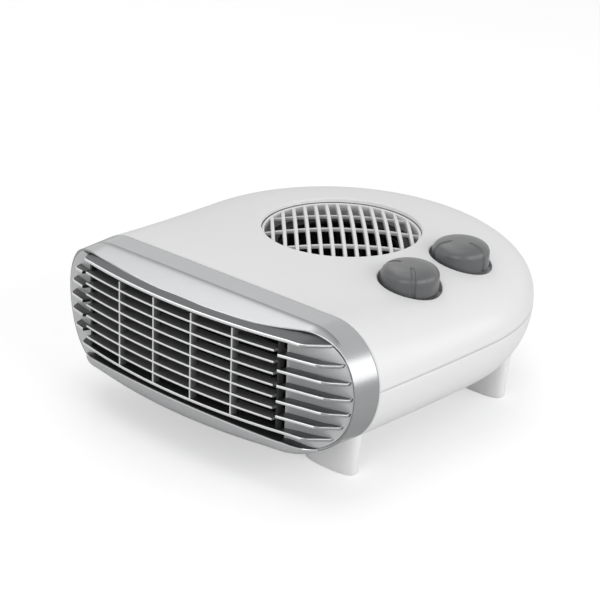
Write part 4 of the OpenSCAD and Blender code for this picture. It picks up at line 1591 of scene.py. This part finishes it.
@dataclass
class LowerLip:
    """The bezel's lower lip, whose round face bends back and thins out into the ring at both ends.

    Attributes:
        sizes: The heater's driving sizes.
        bezel: The ring that the lip runs out into.
        reach: Distance of the lip's ends from the middle.
        turn_x: Where the lip starts to bend back, and where the bend is full.
        turn_back: How far the bend takes it back.
        turn_power: How late the bend sets in.
        thinning: Share of its depth that it loses at the ends.
        depth: Depth of the lip.
        round_y: Depth of its round face.
        face_share: Share of its height that the round face takes up.
        back_share: Share of its height at which the top meets the ribs' backs.
        back_lift: How much the floor rises to the back.
        edge: Width of the front edge, which carries a painted highlight.
        edge_sink: Rounding of this edge.
        top_z: Height of the top in the middle.
        top_fall: How far the top falls at a distance from the middle, as height and distance.
        end_fall: How far it falls besides near the ends, as height, start and run.
        end_power: How late this fall sets in.
        floor_z: Height of the floor in the middle.
        floor_rise: How far the floor rises at a distance from the middle, as height and distance.
        steps: Steps from end to end.
    """

    sizes: Sizes
    bezel: Bezel
    reach: float = 90 * MM
    turn_x: tuple[float, float] = (66 * MM, 90 * MM)
    turn_back: float = 16.7 * MM
    turn_power: float = 3.8
    thinning: float = 0.7
    depth: float = 15 * MM
    round_y: float = 7.5 * MM
    face_share: float = 0.92
    back_share: float = 0.88
    back_lift: float = 1 * MM
    edge: float = 0.7 * MM
    edge_sink: float = 0.1 * MM
    top_z: float = 34.6 * MM
    top_fall: tuple[float, float] = (2.6 * MM, 78 * MM)
    end_fall: tuple[float, float, float] = (5.4 * MM, 76 * MM, 14 * MM)
    end_power: float = 1.3
    floor_z: float = 22.8 * MM
    floor_rise: tuple[float, float] = (1.6 * MM, 75 * MM)
    steps: int = 110

    def build(self) -> list[Object]:
        """Builds and dresses the lip."""
        # Lighter silver, painted light, with painted shade on the top and a painted highlight on the front
        # edge.
        return [dress(self.lip(), LIP_PAINTED_LIGHT, "housing", "bezel_silver", [], RIB_PAINTED_SHADE, NOSE_PAINTED_HIGHLIGHT)]

    def lip(self) -> Object:
        """Builds the lip, with its top marked for painted shade and its front edge for a painted highlight.

        Returns:
            The lip.
        """
        stops = [-self.reach * math.cos(math.pi * t) for t in spread(self.steps)]
        bm, tag = swept_plate(self._outline(), [lambda key, x=x: self._place(key, x) for x in stops])
        for face in bm.faces:
            back = max(v[tag].x for v in face.verts)
            # The top takes painted shade, the front edge a painted highlight.
            if back > self.depth - HAIR and face.normal.z > TURNED:
                face.material_index = 1
            elif back < self.edge + HAIR and min(v[tag].y for v in face.verts) > NEARLY_ONE:
                face.material_index = 2
        return shade(to_object(bm, "bezel_lower_lip"), 40)

    def _outline(self) -> list[tuple[float, float, float]]:
        """Lists the section's points.

        Returns:
            Distance behind the front, share of the height and lift of each point.
        """
        outline = [(self.depth, self.back_share, 0.0), (self.edge, 1.0, 0.0)]
        outline += [(self.edge_sink, 1.0, -self.edge_sink), (0.0, 1.0, -self.edge)]
        for turn in range(0, 91, 10):
            a = math.radians(turn)
            outline.append((self.round_y * (1 - math.cos(a)), self.face_share * (1 - math.sin(a)), 0.0))
        outline.append((self.depth, 0.0, self.back_lift))
        return outline

    def _place(self, key: Vector, x: float) -> Vector:
        """Places a point of the section.

        Args:
            key: Distance behind the front, share of the height and lift.
            x: Distance from the middle, below 0 on the left.

        Returns:
            The place in the frame.
        """
        s = self.sizes
        back, share, lift = key
        start, stop = self.turn_x
        turn = clamp((abs(x) - start) / (stop - start))
        front = arc_y(x, s.rib_reach, s.rib_r) + self.turn_back * turn**self.turn_power
        rise, far = self.floor_rise
        floor = self.floor_z + rise * (x / far) ** 2
        bottom = floor + (self.bezel.under(x) - floor) * turn * turn
        y = front + back * (1 - self.thinning * turn)
        return s.at(x, y, bottom + (self._top(x) - bottom) * share + lift)

    def _top(self, x: float) -> float:
        """Gives the height of the lip's upper edge.

        Args:
            x: Distance from the middle.

        Returns:
            The height in the frame.
        """
        fall, far = self.top_fall
        end_fall, start, run = self.end_fall
        past = clamp((abs(x) - start) / run)
        return self.top_z - fall * (x / far) ** 2 - end_fall * past**self.end_power


def bent(corners: Sequence[Vector], reach: Sequence[float], steps: int = 6) -> list[Vector]:
    """Rounds the inner corners of a line.

    Args:
        corners: The line's corners.
        reach: How far the rounding runs along the line on both sides of each inner corner.
        steps: Steps in each rounding.

    Returns:
        The rounded line.
    """
    line = [corners[0]]
    for before, corner, after, run in zip(corners, corners[1:], corners[2:], reach):
        start = corner + (before - corner).normalized() * run
        end = corner + (after - corner).normalized() * run
        for t in spread(steps):
            line.append(start * (1 - t) ** 2 + corner * (2 * t * (1 - t)) + end * t * t)
    return line + [corners[-1]]


@dataclass(frozen=True)
class Blade:
    """A plate with a rounded front edge that is swept along its front line.

    Attributes:
        depth: Depth of the plate, straight back from the front line.
        thickness: Its thickness.
        nose: Rounding of its front edge.
        slope: How far it falls towards the back, per length.
    """

    depth: float
    thickness: float
    nose: float
    slope: float

    def add(self, bm: BMesh, line: Sequence[Vector]) -> None:
        """Adds the plate to a mesh, with its flats marked 1 for painted shade, its front edge marked 0 for
        a painted highlight and that edge's turned ends marked 2.

        Args:
            bm: The mesh that takes the plate.
            line: The middle of the front edge, from -X to +X.
        """
        half, r = self.thickness / 2, self.nose
        turns = [math.radians(a) for a in (90, 115, 140, 160, 180)]
        upper = [(r + r * math.cos(a), half - r + r * math.sin(a)) for a in turns]
        lower = [(u, -w) for u, w in reversed(upper)]
        outline = [(self.depth, half), *upper, *lower, (self.depth, -half)]
        steps = zip(line, [line[0], *line[:-1]], [*line[1:], line[-1]])
        places = [self._placed(point, after - before) for point, before, after in steps]
        plate, tag = swept_plate([(u, w, 0) for u, w in outline], places)
        # Flats take painted shade and the front edge a painted highlight, except where it turns aside.
        for face in plate.faces:
            deep = max(v[tag].x for v in face.verts) > self.nose + HAIR
            face.material_index = 1 if deep else 2 * int(abs(face.normal.x) > TURNED)
        join_into(bm, plate)

    def _placed(self, point: Vector, along: Vector) -> Place:
        """Makes the placing function for one point of the front line.

        Args:
            point: The point of the front line.
            along: The line's direction there.

        Returns:
            The function.
        """
        inward = Vector((-along.y, along.x, 0)).normalized()

        def place(key: Vector) -> Vector:
            """Places a point of the outline: its edge square to the line, its depth straight back."""
            near = min(key.x, self.nose)
            return point + inward * near + Vector((0, key.x - near, key.y - self.slope * key.x))

        return place


@dataclass
class OutletGrille:
    """The silver ribs of the outlet: two long ribs and a row of fins at each end.

    Attributes:
        sizes: The heater's driving sizes.
        bend_x: Where each rib bends back, from the top rib down to the bottom rib.
        tip_x: Where each rib's end lies, in the same order.
        tip_y: Distance of the ends ahead of the seam.
        tail: How far a rib runs on behind its tip, towards the middle and back.
        bend_reach: Length of the roundings at the bend and at the tip.
        arc_share: Share of the bend's distance up to which a long rib follows its arc.
        arc_steps: Steps of half of this arc.
        inner: Where a fin starts beside the louvres, as x and distance ahead of the seam.
        left_inner: The same on the left.
        left_draw: How much nearer to the middle the ribs end on the left, as photographed.
        droop: Height of a fin's start, bend and end over its level.
        blade: The plate of the fins and the bottom rib.
        top_blade: The plate of the top rib.
    """

    sizes: Sizes
    bend_x: tuple[float, ...] = tuple(x * MM for x in (86, 96, 99.5, 101, 100, 96.5, 89))
    tip_x: tuple[float, ...] = tuple(x * MM for x in (94.5, 102.2, 106.6, 108.2, 107.4, 103.2, 97.5))
    tip_y: float = 20.5 * MM
    tail: tuple[float, float] = (0.5 * MM, 6 * MM)
    bend_reach: tuple[float, float] = (4 * MM, 1.5 * MM)
    arc_share: float = 0.9
    arc_steps: int = 24
    inner: tuple[float, float] = (74.3 * MM, 40.3 * MM)
    left_inner: tuple[float, float] = (79 * MM, 38 * MM)
    left_draw: float = 6 * MM
    droop: tuple[float, float, float] = (1.0 * MM, -0.5 * MM, -2.8 * MM)
    blade: Blade = Blade(10 * MM, 1.8 * MM, 0.6 * MM, 0.2)
    top_blade: Blade = Blade(14 * MM, 1.8 * MM, 0.6 * MM, -0.06)

    def build(self) -> list[Object]:
        """Builds and dresses the ribs."""
        # Front edges in painted highlight, flats in painted shade, turned ends in plain silver.
        return [dress(self.ribs(), NOSE_PAINTED_HIGHLIGHT, "housing", "bezel_silver", ["outlet_grille"], RIB_PAINTED_SHADE, SILVER)]

    def ribs(self) -> Object:
        """Builds all ribs as one moulding.

        Returns:
            The ribs.
        """
        s = self.sizes
        bm = bmesh.new()
        last = len(self.bend_x) - 1
        for k in range(last + 1):
            z = s.top_rib_z + (s.bottom_rib_z - s.top_rib_z) * k / last
            if 0 < k < last:
                self.blade.add(bm, self._fin(k, z, self.inner, 0.0))
                self.blade.add(bm, self._mirrored(self._fin(k, z, self.left_inner, self.left_draw)))
            else:
                left = self._mirrored(self._long_half(k, z, self.left_draw))
                blade = self.blade if k else self.top_blade
                blade.add(bm, left[:-1] + self._long_half(k, z, 0.0))
        return shade(to_object(bm, "outlet_ribs"), 40)

    def _mirrored(self, line: Sequence[Vector]) -> list[Vector]:
        """Mirrors a front line to the other side, so that it still runs from -X to +X."""
        return [Vector((-p.x, p.y, p.z)) for p in reversed(line)]

    def _end(self, start: Vector, k: int, z: float, draw: float) -> list[Vector]:
        """Runs a front line on round the bend and the tip of a rib, as on the right.

        Args:
            start: The place that the line comes from.
            k: The rib's number, from the top.
            z: The rib's level.
            draw: How far the end is drawn in towards the middle.

        Returns:
            The line, from the start on.
        """
        s = self.sizes
        bend, tip = self.bend_x[k] - draw, self.tip_x[k] - draw
        inward, back = self.tail
        return bent([
            start,
            s.at(bend, arc_y(bend, s.rib_reach, s.rib_r), z + self.droop[1]),
            s.at(tip, -self.tip_y, z + self.droop[2]),
            s.at(tip - inward, back - self.tip_y, z + self.droop[2]),
        ], self.bend_reach)

    def _fin(self, k: int, z: float, inner: tuple[float, float], draw: float) -> list[Vector]:
        """Gives the front line of a fin, as on the right."""
        return self._end(self.sizes.at(inner[0], -inner[1], z + self.droop[0]), k, z, draw)

    def _long_half(self, k: int, z: float, draw: float) -> list[Vector]:
        """Gives half of a long rib's front line, as on the right.

        Args:
            k: The rib's number, from the top.
            z: The rib's level.
            draw: How far the end is drawn in towards the middle.

        Returns:
            The line, from the middle on.
        """
        s = self.sizes
        reach = self.arc_share * (self.bend_x[k] - draw)
        arc = [s.at(reach * t, arc_y(reach * t, s.rib_reach, s.rib_r), z) for t in spread(self.arc_steps)]
        return arc[:-1] + self._end(arc[-1], k, z, draw)


@dataclass
class LouvreRack:
    """Seven curved louvres tied together by upright bars, with a post at each end.

    Attributes:
        sizes: The heater's driving sizes.
        louvres: Number of louvres.
        louvre_steps: Steps along a louvre.
        ends: Where the louvres and the posts end, on the left and right.
        front_r: Radius of the louvres' front line in plan.
        bars: Number of upright bars.
        bar_pitch: Distance from bar to bar.
        bar_size: Width and depth of a bar.
        bar_back: How far the bars stand behind the louvres' front.
        post_size: Width and depth of a post.
        post_back: How far the posts stand behind the louvres' front.
        edge_round: Rounding of bars and posts.
        top_gap: How far bars and posts end under the top rib's middle.
        blade: The plate of a louvre.
    """

    sizes: Sizes
    louvres: int = 7
    louvre_steps: int = 48
    ends: tuple[float, float] = (-75 * MM, 70.8 * MM)
    front_r: float = 450 * MM
    bars: int = 4
    bar_pitch: float = 28.9 * MM
    bar_size: tuple[float, float] = (1.2 * MM, 5 * MM)
    bar_back: float = 0.5 * MM
    post_size: tuple[float, float] = (1.6 * MM, 4 * MM)
    post_back: float = 4 * MM
    edge_round: float = 0.25 * MM
    top_gap: float = 1.5 * MM
    blade: Blade = Blade(9 * MM, 1.3 * MM, 0.5 * MM, 0.1)

    def build(self) -> list[Object]:
        """Builds and dresses the rack."""
        # Front edges in painted highlight, flats and the bars' sides in painted shade, the posts painted
        # black as shade.
        return [dress(self.rack(), NOSE_PAINTED_HIGHLIGHT, "housing", "louvre_silver", ["louvre_rack"], LOUVRE_PAINTED_SHADE, DUCT_BLACK_AND_POST_SHADE)]

    def rack(self) -> Object:
        """Builds louvres, bars and posts as one moulding.

        Returns:
            The rack.
        """
        s = self.sizes
        left, right = self.ends
        bm = bmesh.new()
        xs = [left + (right - left) * t for t in spread(self.louvre_steps)]
        for share in spread(self.louvres + 1)[1:-1]:
            z = s.top_rib_z - (s.top_rib_z - s.bottom_rib_z) * share
            self.blade.add(bm, [s.at(x, arc_y(x, s.rib_reach, self.front_r), z) for x in xs])
        for k in range(self.bars):
            x = (k - (self.bars - 1) / 2) * self.bar_pitch
            self._upright(bm, x, self.bar_back, self.bar_size, 0)
        # The posts, painted black as shade.
        for x in self.ends:
            self._upright(bm, x, self.post_back, self.post_size, 2)
        return shade(to_object(bm, "louvre_rack_moulding"), 40)

    def _upright(
        self, bm: BMesh, x: float, back: float, size: tuple[float, float], mark: int
    ) -> None:
        """Adds an upright with rounded edges.

        Args:
            bm: The rack's mesh.
            x: The upright's distance from the middle.
            back: How far it stands behind the louvres' front.
            size: Its width and depth.
            mark: Material index of its front face, and the least one of its other faces: 1 gives the bars'
                sides painted shade, 2 paints the posts black as shade.
        """
        s = self.sizes
        low, high = s.bottom_rib_z, s.top_rib_z - self.top_gap
        y = arc_y(x, s.rib_reach, self.front_r) + back + size[1] / 2
        bar = bmesh.new()
        place = Matrix.Translation(s.at(x, y, (low + high) / 2)) @ Matrix.Diagonal((*size, high - low, 1))
        bmesh.ops.create_cube(bar, size=1, matrix=place)
        round_edges(bar, long_edges(bar, 2, (high - low) / 2), self.edge_round)
        for face in bar.faces:
            face.material_index = max(mark, int(face.normal.y > -TURNED))
        join_into(bm, bar)


# The controls


class Control(Enum):
    """The two knobs, with the turn of each pointer in degrees."""

    THERMOSTAT = 75.0
    SELECTOR = 118.0

    @property
    def node(self) -> str:
        """The CAD node of the knob."""
        return self.name.lower() + "_knob"

    @property
    def body(self) -> str:
        """The body that turns with the knob."""
        return self.name.lower() + "_control"


@dataclass
class Knob:
    """A domed control knob with two grooves that run from its top down its side.

    Attributes:
        sizes: The heater's driving sizes.
        control: Which of the two knobs this is.
        radius: Radius of the knob.
        crown: Height of its domed top.
        crown_x: Exponent of the dome's width.
        crown_z: Exponent of its height.
        crown_step: Turn from row to row of the dome, in degrees.
        skirt_rows: Shares of the side's height at which rows lie.
        wall: Thickness of the side.
        roof: Thickness of the top at the edge of the dome.
        foot_round: How far the side's lower edge is drawn in.
        grooves: Turns of the grooves from the pointer, in degrees.
        groove_w: Half of a groove's width.
        groove_depth: Its depth.
        groove_start: Distance of its inner end from the axis.
        skin: How far inside the radius the outside ends.
        segments: Steps round the knob.
    """

    sizes: Sizes
    control: Control
    radius: float = 16.7 * MM
    crown: float = 7.2 * MM
    crown_x: float = 2 / 3.3
    crown_z: float = 2 / 2.4
    crown_step: int = 2
    skirt_rows: tuple[float, ...] = (0.75, 0.5, 0.25, 0.05)
    wall: float = 2 * MM
    roof: float = 1 * MM
    foot_round: float = 0.4 * MM
    grooves: tuple[float, ...] = (120, 240)
    groove_w: float = 1.35 * MM
    groove_depth: float = 0.9 * MM
    groove_start: float = 7 * MM
    skin: float = 1 * MM
    segments: int = 300

    def build(self) -> list[Object]:
        """Builds and dresses the knob."""
        return [dress(self.knob(), KNOB, self.control.body, "knob_grey", [self.control.node])]

    def knob(self) -> Object:
        """Builds the knob with its grooves pressed in.

        Returns:
            The knob.
        """
        low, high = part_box(self.control.node)
        height = high.z - low.z
        front = self.control is Control.THERMOSTAT
        axis = self.sizes.at(*(self.sizes.front_knob if front else self.sizes.rear_knob), low.z)
        skirt = height - self.crown
        profile = [(0, height)]
        for turn in range(self.crown_step, 91, self.crown_step):
            a = math.radians(turn)
            out, up = math.sin(a) ** self.crown_x, math.cos(a) ** self.crown_z
            profile.append((self.radius * out, skirt + self.crown * up))
        profile += [(self.radius, skirt * t) for t in self.skirt_rows]
        inner, ceiling = self.radius - self.wall, skirt - self.roof
        profile += [(self.radius - self.foot_round, 0), (inner, 0), (inner, ceiling), (0, ceiling)]
        obj = lathe(profile, axis, self.control.body + "_knob", self.segments)
        for vert in obj.data.vertices:
            self._press(vert, axis, height)
        return shade(obj, 45)

    def _press(self, vert: MeshVertex, axis: Vector, height: float) -> None:
        """Presses a vertex of the outside in where a groove runs.

        Args:
            vert: The vertex.
            axis: The foot of the knob's axis.
            height: The knob's height.
        """
        off = vert.co - axis
        far = math.hypot(off.x, off.y)
        inside = off.z < height - self.crown and far < self.radius - self.skin
        if far < self.groove_start - self.groove_w or off.z < 0 or inside:
            return
        for turn in self.grooves:
            a = math.radians(self.control.value + turn)
            out, across = Vector((math.cos(a), math.sin(a), 0)), Vector((-math.sin(a), math.cos(a), 0))
            past_start = min(0.0, off.dot(out) - self.groove_start)
            gap = math.hypot(past_start, off.dot(across)) / self.groove_w
            if off.dot(out) > 0 and gap < 1:
                steep = clamp((height - off.z) / self.crown)
                inward = -out * steep + Vector((0, 0, -1)) * (1 - steep)
                vert.co += inward.normalized() * self.groove_depth * (1 - gap**4)
                return


# The feet

FEET = ("front_right_foot", "front_left_foot", "rear_right_foot", "rear_left_foot")


@dataclass
class Foot:
    """A blade-shaped foot that flares up to the underside.

    Attributes:
        sizes: The heater's driving sizes.
        node: The CAD node that it stands for.
        sole: Width and depth at the table.
        root: Width and depth at the underside.
        sole_round: Rounding of the sole's edge.
        into_housing: How far it runs into the housing.
        roundness: Exponent of its plan, under 1 and so fuller than an ellipse.
        flare: How late it widens towards the root.
        steps: Steps round it.
        rows: Shares of its height, over the sole's rounding, at which rows lie.
    """

    sizes: Sizes
    node: str
    sole: tuple[float, float] = (36 * MM, 12.5 * MM)
    root: tuple[float, float] = (40 * MM, 14 * MM)
    sole_round: float = 1.2 * MM
    into_housing: float = 4 * MM
    roundness: float = 2 / 2.6
    flare: float = 1.6
    steps: int = 64
    rows: tuple[float, ...] = (0.1, 0.25, 0.4, 0.55, 0.7, 0.85, 1.0)

    def build(self) -> list[Object]:
        """Builds and dresses the foot."""
        # The feet take the lightened white, painted light.
        return [dress(self.blade(), FOOT_PAINTED_LIGHT, "housing", "foot_grey", [self.node])]

    def blade(self) -> Object:
        """Builds the foot from its sole to a little inside the housing.

        Returns:
            The foot.
        """
        low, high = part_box(self.node)
        middle = Vector(((low.x + high.x) / 2, (low.y + high.y) / 2, 0))
        turns = [(math.tau * t, 0, 0) for t in spread(self.steps)[:-1]]
        top = self.sizes.under_z + self.into_housing
        r = self.sole_round
        stops = [(r - u, w - r) for u, w in quarter(r)]
        stops += [(r + (top - r) * t, 0.0) for t in self.rows]
        bm, _ = swept_plate(turns, [self._placed(middle, z, z / top, grow) for z, grow in stops])
        return shade(to_object(bm, self.node + "_blade"), 50)

    def _placed(self, middle: Vector, z: float, share: float, grow: float) -> Place:
        """Makes the placing function of the outline at a height.

        Args:
            middle: The foot's middle, on the table.
            z: The height.
            share: Share of the foot's height.
            grow: How much wider the outline is than the flare gives.

        Returns:
            The function.
        """
        wide = share**self.flare
        a, b = ((sole + (root - sole) * wide) / 2 + grow for sole, root in zip(self.sole, self.root))

        def place(key: Vector) -> Vector:
            """Places a vertex by its turn round the foot."""
            x, y = (math.copysign(abs(c) ** self.roundness, c) for c in (math.cos(key.x), math.sin(key.x)))
            return middle + Vector((a * x, b * y, z))

        return place


# Carried-over pieces and the studio

CARRIED_OVER: dict[str, Finish] = {
    "heater_frame": DUCT_BLACK_AND_POST_SHADE,
    # The ceramic bars take the dark copy of the ceramic, painted shade.
    "ceramic_bars": CERAMIC_PAINTED_SHADE,
    "fin_packs": ELEMENT,
    "thermal_cutout": STEEL,
    "thermal_fuse": CERAMIC,
    "fan_scroll": DUCT_BLACK_AND_POST_SHADE,
    "inlet_ring": DUCT_BLACK_AND_POST_SHADE,
    "duct_screws": STEEL,
    "fan_wheel": FAN,
    "motor_shaft": STEEL,
    "motor_rotor": STEEL,
    "motor_stator": STEEL,
    "motor_coil": COPPER,
    "lower_bearing_bracket": STEEL,
    "upper_bearing_bracket": STEEL,
    "bearing_bushes": BRONZE,
    "motor_screws": STEEL,
    "thermostat_spindle": STEEL,
    "selector_spindle": STEEL,
    "thermostat_body": PHENOLIC,
    "selector_switch": PHENOLIC,
    "control_bracket": STEEL,
    "bracket_screws": STEEL,
    "terminal_block": CERAMIC,
    "cord_inlet": RUBBER,
    "housing_screws": STEEL,
}


@dataclass
class Innards:
    """The CAD nodes that keep their own shape.

    Attributes:
        nodes: The frame's nodes by name.
    """

    nodes: dict[str, Object]

    def build(self) -> list[Object]:
        """Gives each carried-over node its material.

        Returns:
            The dressed nodes.
        """
        pieces = []
        for name, finish in CARRIED_OVER.items():
            piece = self.nodes[name]
            piece.data.materials.clear()
            piece.data.materials.append(finish.material())
            pieces.append(piece)
        return pieces


@dataclass(frozen=True)
class View:
    """The camera that took the photograph, as fitted to it.

    Attributes:
        place: The camera's place.
        yaw: Turn of its line of sight, in degrees from the +Y axis towards -X.
        pitch: How far it looks down, in degrees.
        roll: Its turn round the line of sight, in degrees.
        focal: Focal length in millimetres.
        sensor: Width of the sensor in millimetres.
        clip: Nearest and furthest distance that it shows.
    """

    place: tuple[float, float, float] = (0.64372, -0.77200, 0.48771)
    yaw: float = 40.656
    pitch: float = 23.341
    roll: float = 2.288
    focal: float = 109.36
    sensor: float = 36.0
    clip: tuple[float, float] = (0.05, 50.0)

    def build(self) -> None:
        """Makes the camera and hands it to the scene."""
        yaw, pitch, roll = (math.radians(a) for a in (self.yaw, self.pitch, self.roll))
        flat = math.cos(pitch)
        ahead = Vector((-math.sin(yaw) * flat, math.cos(yaw) * flat, -math.sin(pitch)))
        right = Vector((math.cos(yaw), math.sin(yaw), 0))
        up = right.cross(ahead)
        across = right * math.cos(roll) + up * math.sin(roll)
        over = up * math.cos(roll) - right * math.sin(roll)
        data = bpy.data.cameras.new("photo camera")
        data.lens = self.focal
        data.sensor_fit = "HORIZONTAL"
        data.sensor_width = self.sensor
        data.clip_start, data.clip_end = self.clip
        data.dof.use_dof = False
        camera = bpy.data.objects.new("photo camera", data)
        bpy.context.scene.collection.objects.link(camera)
        turn = Matrix((across, over, -ahead)).transposed().to_4x4()
        camera.matrix_world = Matrix.Translation(self.place) @ turn
        bpy.context.scene.camera = camera


@dataclass(frozen=True)
class SoftBox:
    """A large square lamp that looks at the heater.

    Attributes:
        name: The lamp's name.
        place: Its place.
        size: Length of its sides.
        power: Its power in watts.
        target: The point that it looks at.
    """

    name: str
    place: tuple[float, float, float]
    size: float
    power: float
    target: tuple[float, float, float] = (0, 0, 60 * MM)

    def build(self) -> None:
        """Makes the lamp and aims it."""
        data = bpy.data.lights.new(self.name, "AREA")
        data.shape = "SQUARE"
        data.size = self.size
        data.energy = self.power
        lamp = bpy.data.objects.new(self.name, data)
        bpy.context.scene.collection.objects.link(lamp)
        aim = Vector(self.target) - Vector(self.place)
        lamp.location = self.place
        lamp.rotation_mode = "QUATERNION"
        lamp.rotation_quaternion = aim.to_track_quat("-Z", "Y")


@dataclass
class Studio:
    """Plain pale floor, white surroundings and soft lamps.

    Attributes:
        lamps: The lamps.
        ambient: Strength of the surroundings' light.
        floor_half: Half of the floor's width.
        floor_grey: How much light the floor throws back.
        floor_glow: Light that the camera sees on top, so that the floor is white beside the shadow.
    """

    lamps: tuple[SoftBox, ...] = (
        SoftBox("overhead", (-0.4, -0.1, 1.9), 1.5, 8.5),
        SoftBox("rear left", (-1.3, 0.9, 1.7), 1.0, 4.2),
        SoftBox("right", (1.9, -0.2, 0.7), 1.2, 12.5),
        SoftBox("rear right", (1.65, 1.15, 0.55), 1.1, 8),
        SoftBox("front left", (-1.3, -1.6, 1.0), 1.2, 3),
        SoftBox("front", (0.6, -1.9, 0.8), 1.0, 8),
    )
    ambient: float = 0.39
    floor_half: float = 6.0
    floor_grey: float = 0.8
    floor_glow: float = 0.39

    def build(self) -> None:
        """Makes floor, world and lamps."""
        self._floor()
        self._world()
        for lamp in self.lamps:
            lamp.build()
        bpy.context.scene.view_settings.view_transform = "Standard"

    def _floor(self) -> None:
        """Makes the floor, which shows white where no shadow falls."""
        bm = bmesh.new()
        bmesh.ops.create_grid(bm, x_segments=2, y_segments=2, size=self.floor_half)
        floor = to_object(bm, "floor")
        material = bpy.data.materials.new("floor white")
        material.use_nodes = True
        nodes, links = material.node_tree.nodes, material.node_tree.links
        nodes.clear()
        out = nodes.new("ShaderNodeOutputMaterial")
        diffuse = nodes.new("ShaderNodeBsdfDiffuse")
        diffuse.inputs["Color"].default_value = (self.floor_grey, self.floor_grey, self.floor_grey, 1)
        glow = nodes.new("ShaderNodeEmission")
        glow.inputs["Color"].default_value = (1, 1, 1, 1)
        glow.inputs["Strength"].default_value = self.floor_glow
        add = nodes.new("ShaderNodeAddShader")
        mix = nodes.new("ShaderNodeMixShader")
        path = nodes.new("ShaderNodeLightPath")
        links.new(path.outputs["Is Camera Ray"], mix.inputs["Fac"])
        links.new(diffuse.outputs["BSDF"], add.inputs[0])
        links.new(glow.outputs["Emission"], add.inputs[1])
        links.new(diffuse.outputs["BSDF"], mix.inputs[1])
        links.new(add.outputs["Shader"], mix.inputs[2])
        links.new(mix.outputs["Shader"], out.inputs["Surface"])
        floor.data.materials.append(material)

    def _world(self) -> None:
        """Makes surroundings that look white and light the heater at a plain level."""
        world = bpy.data.worlds.new("studio")
        world.use_nodes = True
        bpy.context.scene.world = world
        nodes, links = world.node_tree.nodes, world.node_tree.links
        nodes.clear()
        out = nodes.new("ShaderNodeOutputWorld")
        ambient, seen = nodes.new("ShaderNodeBackground"), nodes.new("ShaderNodeBackground")
        for node, strength in ((ambient, self.ambient), (seen, 1.0)):
            node.inputs["Color"].default_value = (1, 1, 1, 1)
            node.inputs["Strength"].default_value = strength
        path = nodes.new("ShaderNodeLightPath")
        factor = path.outputs["Is Camera Ray"]
        for ray in ("Is Glossy Ray", "Is Transmission Ray"):
            either = nodes.new("ShaderNodeMath")
            either.operation = "MAXIMUM"
            links.new(factor, either.inputs[0])
            links.new(path.outputs[ray], either.inputs[1])
            factor = either.outputs["Value"]
        mix = nodes.new("ShaderNodeMixShader")
        links.new(factor, mix.inputs["Fac"])
        links.new(ambient.outputs["Background"], mix.inputs[1])
        links.new(seen.outputs["Background"], mix.inputs[2])
        links.new(mix.outputs["Shader"], out.inputs["Surface"])


def main() -> None:
    """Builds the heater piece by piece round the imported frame."""
    logging.basicConfig(level=logging.INFO, format="%(message)s")
    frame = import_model()
    sizes = Sizes.from_frame()
    View().build()
    Studio().build()

    bezel = Bezel(sizes)
    parts: list[SubAssembly] = [Innards(frame["nodes"])]
    parts += [Housing(sizes, half) for half in Half]
    parts += [IntakeGuard(sizes), bezel, LowerLip(sizes, bezel), OutletGrille(sizes), LouvreRack(sizes)]
    parts += [Knob(sizes, control) for control in Control]
    parts += [Foot(sizes, node) for node in FEET]
    for part in parts:
        for piece in part.build():
            finish = piece.data.materials[0].name
            LOG.info("%s: %d faces, %s", piece.name, len(piece.data.polygons), finish)


if __name__ == "__main__":
    main()
